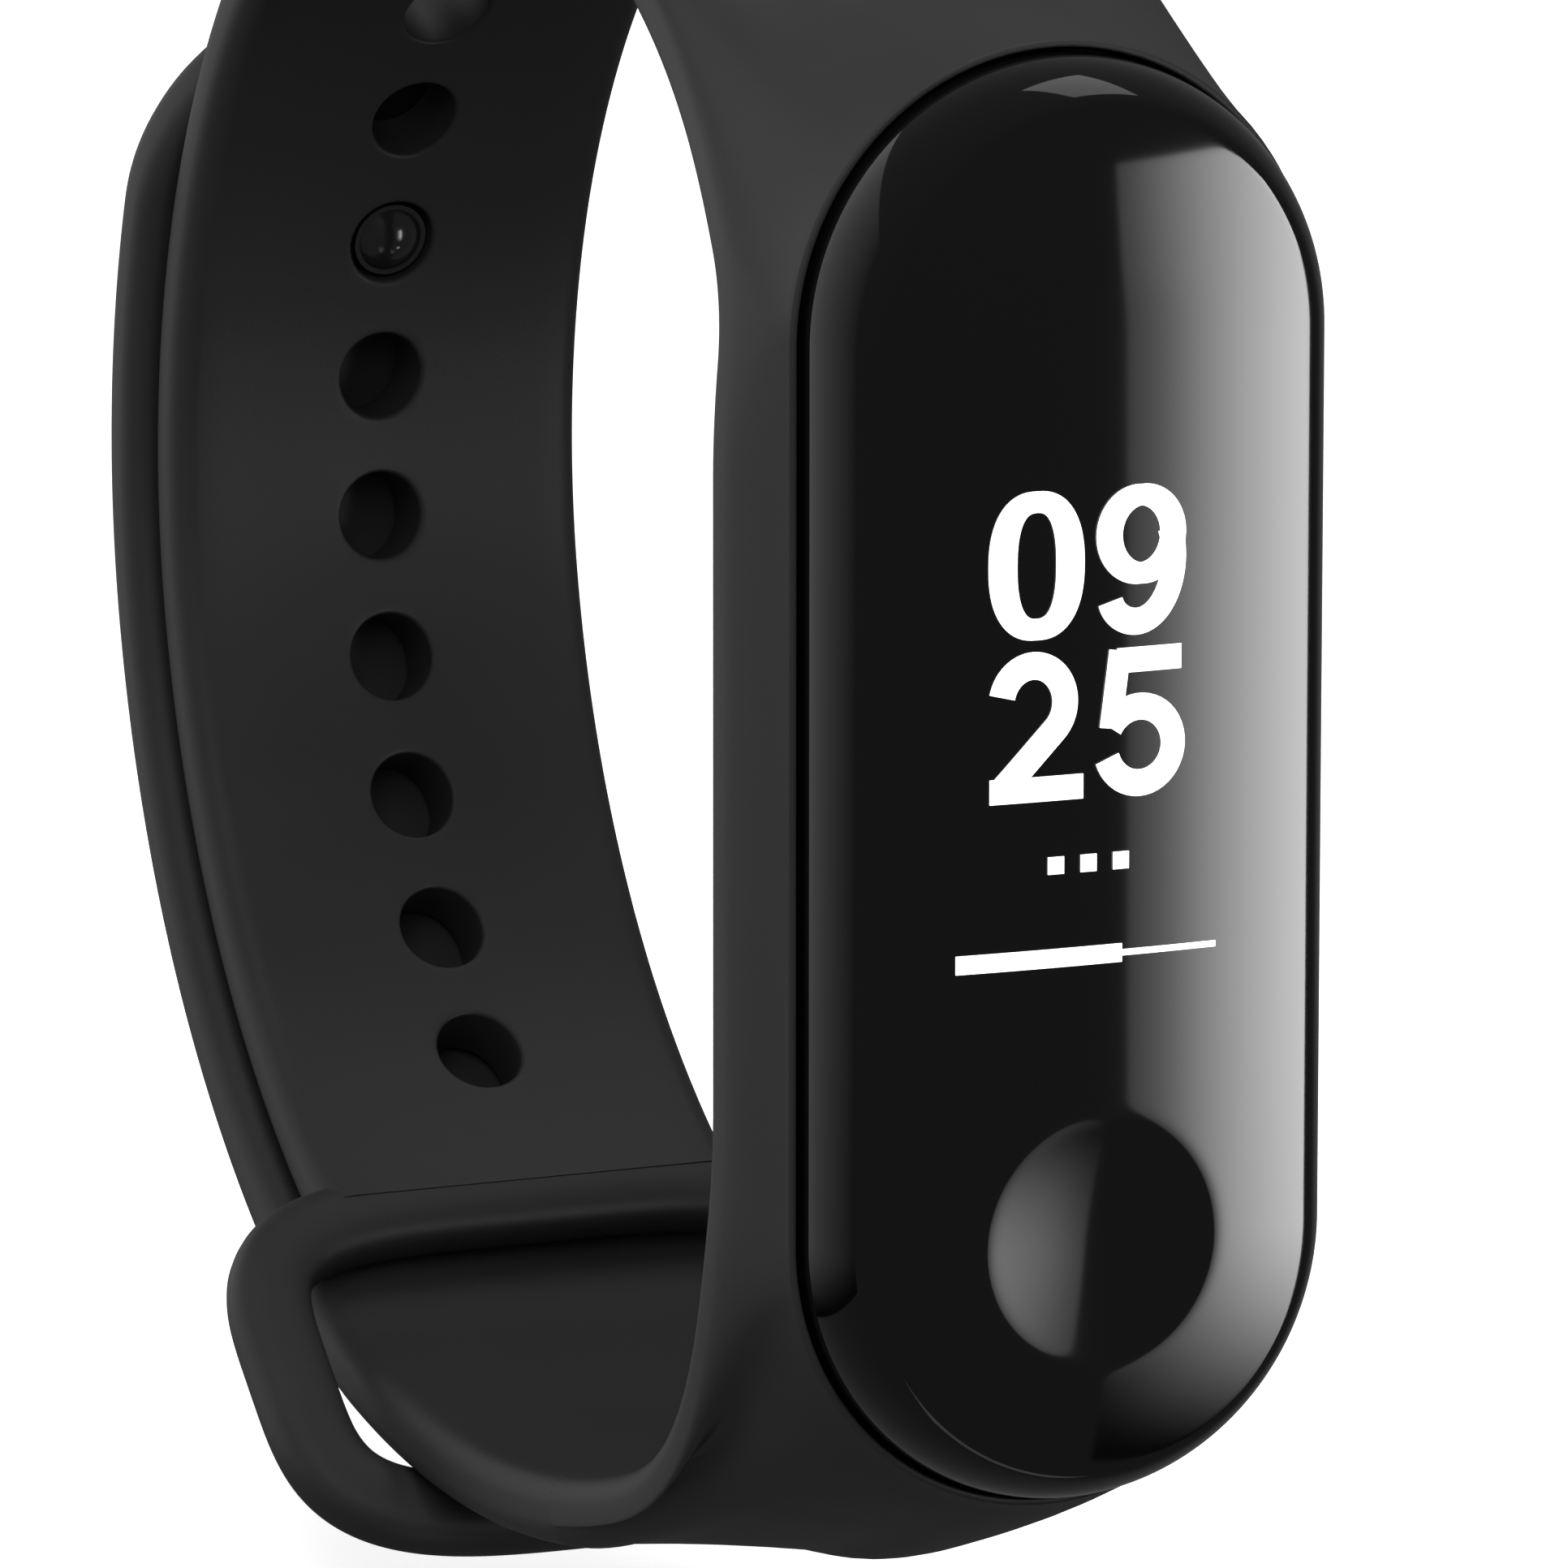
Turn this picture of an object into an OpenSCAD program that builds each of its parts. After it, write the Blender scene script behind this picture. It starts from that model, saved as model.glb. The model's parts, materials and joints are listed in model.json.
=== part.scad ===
// Fitness tracker band: a sealed pill-shaped capsule in a one-piece elastomer strap.
// Frame: X along the wrist's axis, -Y out of the capsule's front, +Z up.
// The origin is the centre of the strap's main bend, which is the middle of the wrist.
// Angles around the ring are measured in the YZ plane: 0 at +Y (rear), 90 at the top, 180 at the front.

/* [Wrist ring] */
// Inner radius of the main bend, over the top and down the rear
ring_r = 25.4; // [21:0.1:31]
// Inner radius of the flatter shoulder behind the capsule's top end
shoulder_r = 32; // [26.5:0.5:38.5]
// Angle at which the shoulder meets the main bend
shoulder_from = 109; // [104:1:114]
// Inner radius of the lower rear stretch
low_r = 29.4; // [24:0.1:35]
// Angle at which the main bend meets the lower rear stretch
low_from = -15; // [-18:1:-12]
// Bend radius of the inner edge at the frame's top end
nose_r = 5; // [4:0.5:6]
// Bend radius of the inner edge at the frame's lower end
chin_r = 15; // [12.5:0.5:18]

/* [Strap] */
// Thickness of the strap
strap_t = 2.4; // [2:0.1:2.9]
// Rounding of the strap's edges
edge_r = 0.9; // [0.5:0.1:1]
// Width of the strap with the holes
band_w = 15.7; // [13:0.1:18.8]
// Width of the frame's upper end, where the holed strap leaves it
band_root_w = 17.4; // [14.5:0.1:20]
// Width of the tail, which carries the stud
tail_w = 17; // [14.2:0.1:20.4]
// Gap between the two layers of strap
layer_gap = 0.35; // [0.3:0.01:0.42]
// How far the tail's rounded tip reaches past the stud
tip_reach = 9; // [7.5:0.1:10.8]

/* [Holes and stud] */
// Diameter of each adjusting hole
hole_d = 3.1; // [2.9:0.05:3.72]
// Distance from hole to hole along the inner surface
hole_pitch = 5.05; // [4.3:0.05:5.4]
// Holes on each side of the one the stud sits in
holes_each_way = 6; // [3:1:6]
// Angle of the hole that the stud sits in
stud_at = 14; // [12:1:17]
// Diameter of the stud's shank
shank_d = 2.4; // [2:0.05:2.4]
// Diameter of the stud's domed head
stud_head_d = 2.7; // [2.4:0.05:2.75]
// How far the stud's head shows inside the strap
stud_show = 0.5; // [0.4:0.05:0.6]
// Diameter of the stud's outer cap
cap_d = 7; // [5.9:0.1:8.4]
// Thickness of the stud's outer cap
cap_t = 0.8; // [0.6:0.05:0.95]
// Clearance of the tail's hinge
hinge_gap = 0.12; // [0.1:0.01:0.15]

/* [Strap loop] */
// Clearance on each side of the tail in the loop's opening
loop_side_gap = 0.9; // [0.5:0.05:2.75]
// Centre distance of the loop's two bars
loop_l = 12.6; // [11.5:0.1:15.1]
// Width of the loop's stock
stock_w = 2.9; // [2.4:0.1:3.4]
// Thickness of the loop's stock
stock_t = 2.2; // [1.9:0.1:2.6]
// Radius of the loop's corners, at the middle of the stock
loop_corner_r = 4.4; // [3.7:0.1:5.2]
// Gap between the tail and the loop's far bar
loop_gap = 0.25; // [0.2:0.05:0.4]

/* [Capsule] */
// Width of the capsule
capsule_w = 17.9; // [17:0.1:21.4]
// Length of the capsule
capsule_l = 46.9; // [42:0.1:56.2]
// Height of the lens above the frame's rim
lens_proud = 3.6; // [3:0.1:4.3]
// Depth of the capsule's back below the rim
capsule_depth = 6.9; // [6.9:0.1:8.2]
// Height of the sensor bump on the capsule's back
bump_h = 1.5; // [1.25:0.05:1.8]
// Diameter of the sensor bump
bump_d = 11.4; // [11:0.1:13.6]
// Lean of the capsule's top towards the wrist, in degrees
capsule_lean = 3.8; // [3.2:0.1:4.5]
// Distance of the rim in front of the main bend's inner surface
rim_out = 3.2; // [2.7:0.1:3.8]
// Height of the capsule's middle above the ring's centre
capsule_up = -1; // [-2:0.1:0]
// Diameter of the touch button's dimple
dimple_d = 8.2; // [6.9:0.1:9.8]
// Depth of the touch button's dimple
dimple_h = 0.5; // [0.42:0.02:0.6]

/* [Frame] */
// Depth of the frame from its rim to its inner surface
frame_depth = 4.9; // [4.5:0.1:5.8]
// Width of the rim around the capsule
rim_w = 0.85; // [0.7:0.05:1.1]
// Bulge of the frame's side past its rim
side_bulge = 0.6; // [0.4:0.05:0.8]
// Clearance all round the capsule
capsule_gap = 0.15; // [0.12:0.01:0.18]
// Depth of the ledge that the capsule's shoulder rests on
ledge_depth = 3.6; // [3.5:0.1:3.8]
// Width of that ledge
ledge_w = 1; // [0.8:0.05:1.1]

/* [Display and boards] */
// Width of the display panel
display_w = 12; // [10:0.1:13]
// Length of the display panel
display_l = 21; // [17.5:0.1:22]
// Thickness of the display panel
display_t = 1.2; // [1:0.05:1.3]
// Distance of the display's middle above the capsule's middle
display_up = 1.4; // [0.5:0.1:2]
// Thickness of the main board
board_t = 0.7; // [0.6:0.05:0.8]
// Thickness of the lens's front and of the shell's back
lens_t = 1.1; // [1:0.05:1.2]

/* [Battery and motor] */
// Width of the battery
battery_w = 11.5; // [9.6:0.1:12.5]
// Length of the battery
battery_l = 24; // [20:0.1:25]
// Thickness of the battery
battery_t = 3.1; // [2.6:0.1:3.1]
// Diameter of the vibration motor
motor_d = 3.2; // [2.7:0.1:3.4]
// Length of the vibration motor's case
motor_l = 7; // [6:0.1:7.4]
// Radius of the motor's shaft
shaft_r = 0.35; // [0.3:0.05:0.42]
// Length of the motor's off-centre weight
weight_l = 3.6; // [3:0.1:4]
// Running clearance round the motor's shaft
shaft_gap = 0.05; // [0.03:0.01:0.08]

/* [Hidden] */
$fn = 64;

// Unit vector at an angle round the ring, as [y, z]
function way(a) = [cos(a), sin(a)];
// Centre of the arc that carries on from an arc of radius r_from at angle a, with radius r_to
function carry_on(c, r_from, r_to, a) = c + (r_from - r_to) * way(a);
// Centre of an arc of radius r that touches the line at distance d along way(line_a)
// and, from inside, the circle of radius big_r about c; side is 1 above and -1 below
function touching(line_a, d, r, c, big_r, side) =
    let (a = d - r - c * way(line_a), b = sqrt(pow(big_r - r, 2) - a * a))
    c + a * way(line_a) + side * b * way(line_a - 90);
// Points of an arc about c, from angle a to angle b
function arc_points(c, r, a, b, steps) = [for (i = [0 : steps]) c + r * way(a + (b - a) * i / steps)];
// Angle of the line from point p to point q
function heading(p, q) = atan2(q[1] - p[1], q[0] - p[0]);

// Centres of the holed strap's arcs
main_c = [0, 0];
shoulder_c = carry_on(main_c, ring_r, shoulder_r, shoulder_from);
low_c = carry_on(main_c, ring_r, low_r, low_from);

// The tail follows the holed strap one layer further out, dips through the loop and
// then runs along the belly to the frame's lower end
outer_step = strap_t + layer_gap;
tail_main_r = ring_r + outer_step;
tail_low_r = low_r + outer_step;
dip_from = -63;
dip_r = 16;
belly_from = -78;
belly_r = 38;
dip_c = carry_on(low_c, tail_low_r, dip_r, dip_from);
belly_c = carry_on(dip_c, dip_r, belly_r, belly_from);

// The capsule's rim plane, and the frame's inner surface behind it
front_a = 180 - capsule_lean;
rim_c = [-(ring_r + rim_out), capsule_up];
inner_d = rim_c * way(front_a) - frame_depth;
nose_c = touching(front_a, inner_d, nose_r, shoulder_c, shoulder_r, 1);
chin_c = touching(front_a, inner_d, chin_r, belly_c, belly_r, -1);
nose_to = heading(shoulder_c, nose_c);
chin_to = heading(belly_c, chin_c);

// Planes where the frame hands over to the holed strap and to the tail
band_split = shoulder_from + 3;
tail_split = -103;
loop_split = -57.5;
root_sink = strap_t / 6;

// The loop: its near bar lies on the strap, its far bar outside the tail
loop_at = -60.5;
near_bar = low_c + (low_r + strap_t / 2) * way(loop_at);
loop_span = norm(near_bar - belly_c);
// Slope of the loop that puts its far bar's centre at a distance from the belly's centre
function loop_slope(reach) = heading(near_bar, belly_c)
    + acos((loop_l * loop_l + loop_span * loop_span - reach * reach) / (2 * loop_l * loop_span));
// How far the stock reaches from its centre towards the tail when the loop leans against it
function stock_reach(lean) = edge_r + (stock_w / 2 - edge_r) * abs(sin(lean))
    + (stock_t / 2 - edge_r) * abs(cos(lean));
tail_face_r = belly_r + strap_t + loop_gap;
level_slope = loop_slope(tail_face_r + stock_t / 2);
loop_lean = level_slope + 90 - heading(belly_c, near_bar + loop_l * way(level_slope));
loop_a = loop_slope(tail_face_r + stock_reach(loop_lean));
// Width of the loop's opening
loop_opening_w = tail_w + 2 * loop_side_gap;
loop_mid_w = loop_opening_w + stock_w;

// The stud and the tail's hinge
tail_mid_r = tail_main_r + strap_t / 2;
hinge = tail_mid_r * way(low_from);
cap_sink = 0.5;
flange_t = 0.4;
flange_d = cap_d - 1;

// Capsule levels along its own depth, with 0 at the rim plane and the front positive
pill_span = capsule_l - capsule_w;
wall = 1.05;
seam_z = -0.6;
gasket_t = 0.2;
shell_top = seam_z - gasket_t;
lens_inner_z = lens_proud - lens_t;
shoulder_z = -(ledge_depth - capsule_gap);
back_z = -capsule_depth;
floor_z = back_z + 1;
bump_z = back_z - bump_h;
lower_half_w = capsule_w / 2 - ledge_w;
hollow_r = capsule_w / 2 - wall;
low_hollow_r = lower_half_w - 1;
step_z = shoulder_z + 0.45;
skirt_r = hollow_r - 0.15;
skirt_t = 0.65;
tray_t = 0.8;
display_z = lens_inner_z - 0.05 - display_t;
tray_z = display_z - tray_t;
board_z = tray_z - 0.5 - board_t;
board_r = skirt_r - skirt_t - 0.1;
button_y = -pill_span / 2;
motor_y = pill_span / 2 + 1;
motor_x = -(motor_l + weight_l + 0.5) / 2;
motor_z = floor_z + 0.4 + motor_d / 2;
battery_z = floor_z + 0.8;
sensor_board_t = 0.6;
window_t = 0.8;
window_r = bump_d / 2 - 1.1;
bump_bore_r = window_r - 0.5;
pin_x = 3;
pin_y = -pill_span / 2 - 3;
pin_r = 1;
seal_t = 0.5;
flex_w = 8;
flex_t = 0.2;
flex_y = display_up - display_l / 2 - 0.4;

// ---------- helpers ----------

// A rectangle with rounded corners, centred on the origin, built from squares and circles
module soft_rect(w, h, r) {
    square([w - 2 * r, h], center = true);
    square([w, h - 2 * r], center = true);
    for (x = [-1, 1], y = [-1, 1]) translate([x * (w / 2 - r), y * (h / 2 - r)]) circle(r);
}

// Turns a shape drawn with Z as the ring's axis, X to the rear and Y up, into the ring's place
module in_ring() { rotate([90, 0, 90]) children(); }

// A stretch of strap: its cross-section swept round the ring from angle b up to angle a
module strap_arc(c, mid_r, b, a, w) {
    in_ring() translate([c[0], c[1], 0]) rotate([0, 0, b]) rotate_extrude(angle = a - b)
        translate([mid_r, 0]) soft_rect(strap_t, w, edge_r);
}

// Puts a shape at radius r and angle a, its Z pointing away from the arc's centre
module at_angle(c, r, a) {
    translate([0, c[0] + r * cos(a), c[1] + r * sin(a)]) rotate([a - 90, 0, 0]) children();
}

// Puts a shape drawn flat, with Z out of the capsule's front and Y up, at the capsule's place
module in_capsule() {
    translate([0, rim_c[0], rim_c[1]]) rotate([90 - capsule_lean, 0, 0]) children();
}

// A pill outline: two round ends and a straight middle
module pill(w, span, h) {
    translate([-w / 2, -span / 2, 0]) cube([w, span, h]);
    for (y = [-1, 1]) translate([0, y * span / 2, 0]) cylinder(d = w, h = h);
}

// A half section carried round a pill: revolved at both ends, straight in between
module pill_sweep(span) {
    for (s = [0, 180]) rotate([0, 0, s]) translate([0, span / 2, 0]) rotate_extrude(angle = 180) children();
    for (s = [0, 180]) rotate([90, 0, s]) linear_extrude(span, center = true) children();
}

// A slab standing on z, centred on x and y
module slab(w, l, h) { translate([-w / 2, -l / 2, 0]) cube([w, l, h]); }

// ---------- strap ----------

// One thin disc at each end of the pill, for the frame's rounded outer form
module frame_ring(half_w, z) {
    for (y = [-1, 1]) translate([0, y * pill_span / 2, z]) cylinder(r = half_w, h = 0.05, $fn = 48);
}

// Two short rods that lie along the strap and give a hull the strap's cross-section. They reach
// root_sink below its inner face, so that the wrist room cuts them across.
module strap_end(c, mid_r, a, w, along) {
    rod_d = strap_t + root_sink;
    for (x = [-1, 1]) at_angle(c, mid_r - root_sink / 2, a) translate([x * (w - rod_d) / 2, 0, 0])
        rotate([90 * along, 0, 0]) cylinder(d = rod_d, h = 0.3, $fn = 32);
}

// The frame's outer form: the pill's flank, its crown behind each end, and the strap's two roots
module frame_form() {
    rim_half = capsule_w / 2 + capsule_gap + rim_w;
    bulge_half = rim_half + side_bulge;
    hull() {
        in_capsule() {
            frame_ring(rim_half - 0.3, -0.05);
            frame_ring(rim_half, -0.35);
            frame_ring(bulge_half, -2);
            frame_ring(bulge_half, -frame_depth + 1.6);
            frame_ring(bulge_half - 0.7, -frame_depth - 0.2);
        }
        for (x = [-1, 0, 1]) {
            crown = x == 0 ? 2.8 : 1.6;
            at_angle(shoulder_c, shoulder_r + strap_t + (x == 0 ? 0.2 : -1.4), 131)
                translate([x * (bulge_half - 2.6), 0, 0]) sphere(crown, $fn = 32);
            at_angle(belly_c, belly_r + strap_t + (x == 0 ? -1.4 : -1.8), -119)
                translate([x * (bulge_half - 2.8), 0, 0]) sphere(crown, $fn = 32);
        }
        strap_end(main_c, ring_r + strap_t / 2, band_split, band_root_w, 1);
        strap_end(belly_c, belly_r + strap_t / 2, tail_split, tail_w, -1);
    }
}

// The room inside the ring behind the frame, as a prism along the wrist's axis
module wrist_room() {
    outline = concat(
        arc_points(nose_c, nose_r, front_a, nose_to, 8),
        arc_points(shoulder_c, shoulder_r, nose_to, band_split - 8, 12),
        arc_points(belly_c, belly_r, tail_split + 8, chin_to, 12),
        arc_points(chin_c, chin_r, chin_to, front_a - 360, 16));
    in_ring() linear_extrude(60, center = true) polygon(outline);
}

module strap_frame() {
    color("#303132") difference() {
        frame_form();
        wrist_room();
        in_capsule() {
            translate([0, 0, -ledge_depth]) pill(capsule_w + 2 * capsule_gap, pill_span, ledge_depth + 5);
            translate([0, 0, back_z - capsule_gap - 0.1])
                pill(2 * (lower_half_w + capsule_gap), pill_span, capsule_depth);
        }
    }
}

// Angle, round its own arc, of the point that lies s millimetres past the stud towards the loop
function hole_on_main(s) = stud_at - s / ring_r * 180 / PI;
function hole_is_low(s) = hole_on_main(s) < low_from;
function hole_angle(s) = hole_is_low(s)
    ? low_from - (s - (stud_at - low_from) * PI / 180 * ring_r) / low_r * 180 / PI
    : hole_on_main(s);
function hole_centre(s) = hole_is_low(s) ? low_c : main_c;
function hole_base(s) = hole_is_low(s) ? low_r : ring_r;

// Bores for the holes from number i_from to number i_to, counted from the stud's towards the loop
module adjusting_holes(i_from, i_to) {
    for (i = [i_from : i_to]) {
        s = i * hole_pitch;
        at_angle(hole_centre(s), hole_base(s) - 1, hole_angle(s)) cylinder(d = hole_d, h = strap_t + 2);
    }
}

// The holed strap from the frame, over the top and down the rear
module band_upper() {
    color("#303132") difference() {
        strap_arc(main_c, ring_r + strap_t / 2, low_from, band_split, band_w);
        adjusting_holes(-holes_each_way, holes_each_way);
    }
}

// The holed strap's lower rear stretch, down to the loop
module band_lower() {
    color("#303132") difference() {
        strap_arc(low_c, low_r + strap_t / 2, loop_split, low_from, band_w);
        adjusting_holes(0, holes_each_way);
    }
}

// The loop's stock, seen along its own length
module stock() { soft_rect(stock_w, stock_t, edge_r); }

module strap_loop() {
    straight = loop_mid_w - 2 * loop_corner_r;
    side = loop_l - 2 * loop_corner_r;
    color("#303132") {
        translate([0, near_bar[0], near_bar[1]]) rotate([loop_a, 0, 0]) {
            for (y = [0, loop_l]) translate([0, y, 0]) rotate([90, 0, 90])
                linear_extrude(straight, center = true) stock();
            for (x = [-1, 1]) translate([x * loop_mid_w / 2, loop_l / 2, 0]) rotate([90, 0, 0])
                linear_extrude(side, center = true) stock();
            for (x = [0, 1], y = [0, 1])
                translate([(x - 0.5) * straight, loop_corner_r + y * side, 0])
                    rotate([0, 0, x == 1 ? (y == 1 ? 0 : 270) : (y == 1 ? 90 : 180)])
                        rotate_extrude(angle = 90) translate([loop_corner_r, 0]) stock();
        }
        strap_arc(low_c, low_r + strap_t / 2, loop_at, loop_split, band_w);
    }
}

// The tail from the frame's lower end, along the belly
module tail_belly() {
    color("#2e2f30") strap_arc(belly_c, belly_r + strap_t / 2, tail_split, belly_from, tail_w);
}

// The tail's dip under the loop's far bar
module tail_dip() {
    color("#2e2f30") strap_arc(dip_c, dip_r + strap_t / 2, belly_from, dip_from, tail_w);
}

// The tail up the rear, outside the holed strap, to its hinge
module tail_rear() {
    color("#2e2f30") difference() {
        strap_arc(low_c, tail_low_r + strap_t / 2, dip_from, low_from, tail_w);
        translate([0, hinge[0], hinge[1]]) rotate([0, 90, 0])
            cylinder(r = strap_t / 2 + hinge_gap, h = tail_w + 2, center = true);
    }
}

module tail_tip() {
    round_c = stud_at + (tip_reach - tail_w / 2) / tail_mid_r * 180 / PI;
    tip_to = stud_at + (tip_reach + 1) / tail_mid_r * 180 / PI;
    color("#2e2f30") difference() {
        union() {
            strap_arc(main_c, tail_mid_r, low_from, tip_to, tail_w);
            translate([0, hinge[0], hinge[1]]) rotate([0, 90, 0])
                cylinder(d = strap_t - 0.1, h = tail_w - 2 * edge_r, center = true);
        }
        at_angle(main_c, tail_mid_r, round_c) difference() {
            translate([-tail_w, -20, -8]) cube([2 * tail_w, 20, 12]);
            translate([0, 0, -9]) cylinder(d = tail_w - 0.2, h = 14);
        }
        at_angle(main_c, tail_main_r - 1, stud_at) cylinder(d = shank_d, h = strap_t + 2);
        at_angle(main_c, tail_main_r + strap_t - cap_sink - flange_t, stud_at) cylinder(d = flange_d, h = 3);
        at_angle(main_c, tail_main_r + strap_t - cap_sink, stud_at) cylinder(d = cap_d, h = 3);
    }
}

module stud_pin() {
    shank_top = tail_main_r + strap_t - cap_sink - flange_t;
    head_in = ring_r - stud_show;
    color("#232425") at_angle(main_c, 0, stud_at) {
        translate([0, 0, shank_top]) cylinder(d = flange_d, h = flange_t);
        translate([0, 0, ring_r + 0.9]) cylinder(d = shank_d, h = shank_top - ring_r - 0.9);
        translate([0, 0, ring_r + 0.2]) cylinder(d1 = stud_head_d, d2 = shank_d, h = 0.7);
        intersection() {
            translate([0, 0, head_in + stud_head_d / 2 + 0.2]) sphere(d = stud_head_d + 0.2);
            translate([0, 0, head_in - 1]) cylinder(d = stud_head_d, h = 1.2 + stud_show);
        }
    }
}

module stud_cap() {
    seat = tail_main_r + strap_t - cap_sink;
    dome_r = (pow(cap_d / 2 - 0.1, 2) + 0.09) / 0.6;
    color("#2a2b2c") at_angle(main_c, seat, stud_at) intersection() {
        cylinder(d = cap_d - 0.1, h = cap_t);
        translate([0, 0, cap_t - dome_r]) sphere(dome_r, $fn = 256);
    }
}

// ---------- capsule ----------

// Half section of the lens's outside: a soft corner under a slightly crowned front
module lens_half() {
    corner = 2.2;
    h = lens_proud - seam_z;
    half_w = capsule_w / 2;
    intersection() {
        translate([0, seam_z]) {
            square([half_w, h - corner]);
            square([half_w - corner, h]);
            translate([half_w - corner, h - corner]) circle(corner);
        }
        translate([0, lens_proud - 70]) circle(70, $fn = 256);
        translate([0, seam_z]) square([half_w, h]);
    }
}

// Half section of the room inside the lens
module lens_room_half() {
    corner = 1.4;
    h = lens_inner_z - seam_z;
    half_w = hollow_r - 0.1;
    translate([0, seam_z]) {
        translate([0, -1]) square([half_w, h - corner + 1]);
        translate([0, -1]) square([half_w - corner, h + 1]);
        intersection() {
            translate([half_w - corner, h - corner]) circle(corner);
            square([half_w, h]);
        }
    }
}

module front_lens() {
    ball_r = (pow(dimple_d / 2, 2) + dimple_h * dimple_h) / (2 * dimple_h);
    color("#141416") in_capsule() difference() {
        pill_sweep(pill_span) lens_half();
        pill_sweep(pill_span) lens_room_half();
        translate([0, button_y, lens_proud - dimple_h + ball_r]) sphere(ball_r, $fn = 128);
    }
}

module lens_gasket() {
    color("#3a3a3a") in_capsule() translate([0, 0, shell_top]) difference() {
        pill(capsule_w - 0.2, pill_span, gasket_t);
        translate([0, 0, -1]) pill(2 * hollow_r, pill_span, gasket_t + 2);
    }
}

module display_panel() {
    color("#202028") in_capsule() translate([0, display_up, display_z]) slab(display_w, display_l, display_t);
}

module display_flex() {
    foot_z = board_z + board_t + 0.25;
    color("#b07a28") in_capsule() {
        translate([0, flex_y, foot_z]) slab(flex_w, flex_t, display_z + display_t * 0.6 - foot_z);
        translate([0, flex_y + 0.2, display_z + display_t * 0.4]) slab(flex_w, 0.4, flex_t);
        translate([0, flex_y - 1.3, foot_z]) slab(flex_w, 2.6, flex_t * 0.8);
    }
}

module touch_electrode() {
    color("#c08040") in_capsule() translate([0, button_y, lens_inner_z - 0.2]) cylinder(d = dimple_d - 0.8, h = 0.2);
}

module touch_contact() {
    color("#c9a227") in_capsule() translate([0, button_y, board_z + board_t])
        cylinder(d = 1.4, h = lens_inner_z - 0.2 - board_z - board_t);
}

// Tray under the display with a skirt that stands on the shell's inner step
module inner_frame() {
    color("#55585c") in_capsule() {
        difference() {
            translate([0, 0, step_z]) pill(2 * skirt_r, pill_span, tray_z + tray_t - step_z);
            translate([0, 0, step_z - 1]) pill(2 * (skirt_r - skirt_t), pill_span, tray_z - step_z + 1);
            translate([0, button_y, tray_z - 1]) cylinder(d = 2.4, h = tray_t + 2);
            translate([0, flex_y - 0.3, tray_z - 1]) slab(flex_w + 0.6, 1.4, tray_t + 2);
        }
        for (x = [-1, 1], y = [-1, 1]) translate([x * 5, y * pill_span / 2.2, board_z + board_t])
            cylinder(d = 1.4, h = tray_z - board_z - board_t);
    }
}

module antenna() {
    color("#c9a227") in_capsule() translate([0, pill_span / 2, tray_z + tray_t])
        rotate_extrude(angle = 180) translate([5.4, 0]) square([1, 0.25]);
}

// Half section of the shell's outside: full width down to the shoulder, then narrower to the back
module shell_half() {
    corner = 1.6;
    square_top = [capsule_w / 2, shell_top - shoulder_z];
    translate([0, shoulder_z]) square(square_top);
    translate([0, back_z + corner]) square([lower_half_w, shoulder_z - back_z - corner]);
    translate([0, back_z]) square([lower_half_w - corner, corner]);
    intersection() {
        translate([lower_half_w - corner, back_z + corner]) circle(corner);
        translate([0, back_z]) square([lower_half_w, corner]);
    }
}

module capsule_shell() {
    color("#1c1c1e") in_capsule() difference() {
        union() {
            pill_sweep(pill_span) shell_half();
            translate([0, 0, bump_z]) cylinder(d1 = bump_d - 1, d2 = bump_d, h = 0.6);
            translate([0, 0, bump_z + 0.6]) cylinder(d = bump_d, h = bump_h);
        }
        translate([0, 0, step_z]) pill(2 * hollow_r, pill_span, 6);
        translate([0, 0, floor_z]) pill(2 * low_hollow_r, pill_span, 6);
        translate([0, 0, bump_z - 1]) cylinder(r = bump_bore_r, h = 6);
        translate([0, 0, bump_z - 1]) cylinder(r = window_r + 0.05, h = 1 + window_t);
        for (x = [-1, 1]) translate([x * pin_x, pin_y, back_z - 1]) cylinder(r = pin_r + 0.02, h = 4);
    }
}

module main_board() {
    color("#1f5c33") in_capsule() translate([0, 0, board_z]) pill(2 * board_r, pill_span - 1, board_t);
}

// A chip under the main board, at [x, y], with its own size
module chip(at, size) {
    color("#26262a") in_capsule() translate([at[0], at[1], board_z - size[2]]) slab(size[0], size[1], size[2]);
}

module radio_chip() { chip([0, pill_span / 2 - 0.5], [5, 5, 0.7]); }
module memory_chip() { chip([-3.4, -pill_span / 2 + 0.2], [3, 2.2, 0.5]); }
module motion_chip() { chip([3.4, -pill_span / 2 + 0.2], [2.2, 2.2, 0.6]); }

module board_connector() {
    color("#d8d2c4") in_capsule() translate([0, flex_y - 1.3, board_z + board_t]) slab(6.4, 2, 0.25);
}

module battery_cell() {
    color("#9aa0a6") in_capsule() translate([0, 0, battery_z]) {
        slab(battery_w - 1.2, battery_l, battery_t);
        translate([0, 0, 0.6]) slab(battery_w, battery_l, battery_t - 1.2);
        for (x = [-1, 1], z = [0.6, battery_t - 0.6]) translate([x * (battery_w / 2 - 0.6), 0, z])
            rotate([90, 0, 0]) cylinder(r = 0.6, h = battery_l, center = true);
    }
}

module battery_tab() {
    color("#c9a227") in_capsule() translate([0, -battery_l / 2 - 0.3, battery_z + 0.8])
        slab(3, 0.4, board_z - battery_z - 0.8);
}

module in_motor() {
    in_capsule() translate([motor_x, motor_y, motor_z]) rotate([0, 90, 0]) children();
}

module motor_case() {
    color("#b9bcc0") in_motor() difference() {
        cylinder(d = motor_d, h = motor_l);
        translate([0, 0, 0.6]) cylinder(r = shaft_r + shaft_gap, h = motor_l);
    }
}

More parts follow.
